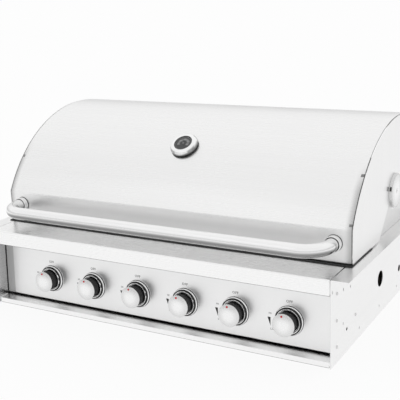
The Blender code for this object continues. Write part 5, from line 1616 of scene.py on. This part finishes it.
pointer = gathered("gauge_pointer", needle, hub)
pointer.data.transform(GAUGE_PLACE)
fitted(evened(pointer), "thermometer_dial", NEEDLE_PAINT, stands_for=False)

# Studio
# Pale floor that is white to the eye and in what metal shows, under a white sky that is greyer near the
# horizon, with one broad weak lamp over the front left and a long lens slightly above the front right.
FLOOR_HALF = 90.0
CAMERA_PLACE = (1.0612, -1.8278, 0.8268)
CAMERA_LENS = 74.56
CAMERA_TURN = math.radians(30.136)
CAMERA_DIP = math.radians(15.015)
CAMERA_ROLL = -0.0413
CAMERA_SENSOR = 36
FLOOR_WHITE_SHARE = 0.88
LAMP_PLACE = (-1.2, -2.2, 2.4)
LAMP_AIM = (0, 0, 0.25)
LAMP_SIZE = (1.6, 1.0)
LAMP_WATTS = 0.4

build = bmesh.new()
bmesh.ops.create_grid(build, x_segments=1, y_segments=1, size=FLOOR_HALF)
floor = piece_from("floor", build)
pale = bpy.data.materials.new("pale_floor")
pale.use_nodes = True
ground = Recipe(pale.node_tree)
pale.node_tree.nodes.remove(pale.node_tree.nodes["Principled BSDF"])
rays = [ground.node("ShaderNodeLightPath", output=f"Is {kind} Ray")
        for kind in ("Camera", "Glossy", "Transmission")]
share = (rays[0] + rays[1] + rays[2]) * FLOOR_WHITE_SHARE
matt = ground.node("ShaderNodeBsdfDiffuse", {"Color": grey(0.9)})
glow = ground.node("ShaderNodeEmission", {"Color": grey(1.0), "Strength": 1.0})
mixed = ground.node("ShaderNodeMixShader", {0: share, 1: matt, 2: glow})
ground.tree.links.new(mixed.socket, ground.tree.nodes["Material Output"].inputs["Surface"])
floor.data.materials.append(pale)

sky = bpy.data.worlds.new("studio_sky")
sky.use_nodes = True
bpy.context.scene.world = sky
air = Recipe(sky.node_tree)
direction = air.node("ShaderNodeTexCoord", output="Generated")
height = air.node("ShaderNodeSeparateXYZ", {0: direction}, output=2)
depth = air.node("ShaderNodeSeparateXYZ", {0: direction}, output=1)
before = air.node("ShaderNodeValToRGB", {0: height}, stops=(
    (0.0, grey(0.60)), (1.0, grey(0.97)), (0.12, grey(0.74)), (0.40, grey(0.97)), (0.70, grey(0.94))))
behind = air.node("ShaderNodeValToRGB", {0: height}, stops=(
    (0.0, grey(0.55)), (1.0, grey(0.97)), (0.20, grey(0.80)), (0.40, grey(0.98)), (0.80, grey(1.00))))
light = air.node("ShaderNodeMix", {0: depth * 2.5 + 0.5, 6: before, 7: behind}, output=2, data_type="RGBA",
                 clamp_factor=True)
air.tree.links.new(light.socket, air.tree.nodes["Background"].inputs["Color"])
air.tree.nodes["Background"].inputs["Strength"].default_value = 1.0

lamp = bpy.data.objects.new("soft_lamp", bpy.data.lights.new("soft_lamp", "AREA"))
lamp.data.shape = "RECTANGLE"
lamp.data.size, lamp.data.size_y = LAMP_SIZE
lamp.data.energy = LAMP_WATTS
lamp.location = LAMP_PLACE
lamp.rotation_euler = (Vector(LAMP_PLACE) - Vector(LAMP_AIM)).to_track_quat("Z", "Y").to_euler()
bpy.context.collection.objects.link(lamp)

camera = bpy.data.objects.new("camera", bpy.data.cameras.new("camera"))
camera.data.lens = CAMERA_LENS
camera.data.sensor_width = CAMERA_SENSOR
camera.matrix_world = (Matrix.Translation(CAMERA_PLACE) @ Matrix.Rotation(CAMERA_TURN, 4, "Z")
                       @ Matrix.Rotation(math.pi / 2 - CAMERA_DIP, 4, "X")
                       @ Matrix.Rotation(CAMERA_ROLL, 4, "Z"))
bpy.context.collection.objects.link(camera)
bpy.context.scene.camera = camera
bpy.context.scene.view_settings.view_transform = "Standard"
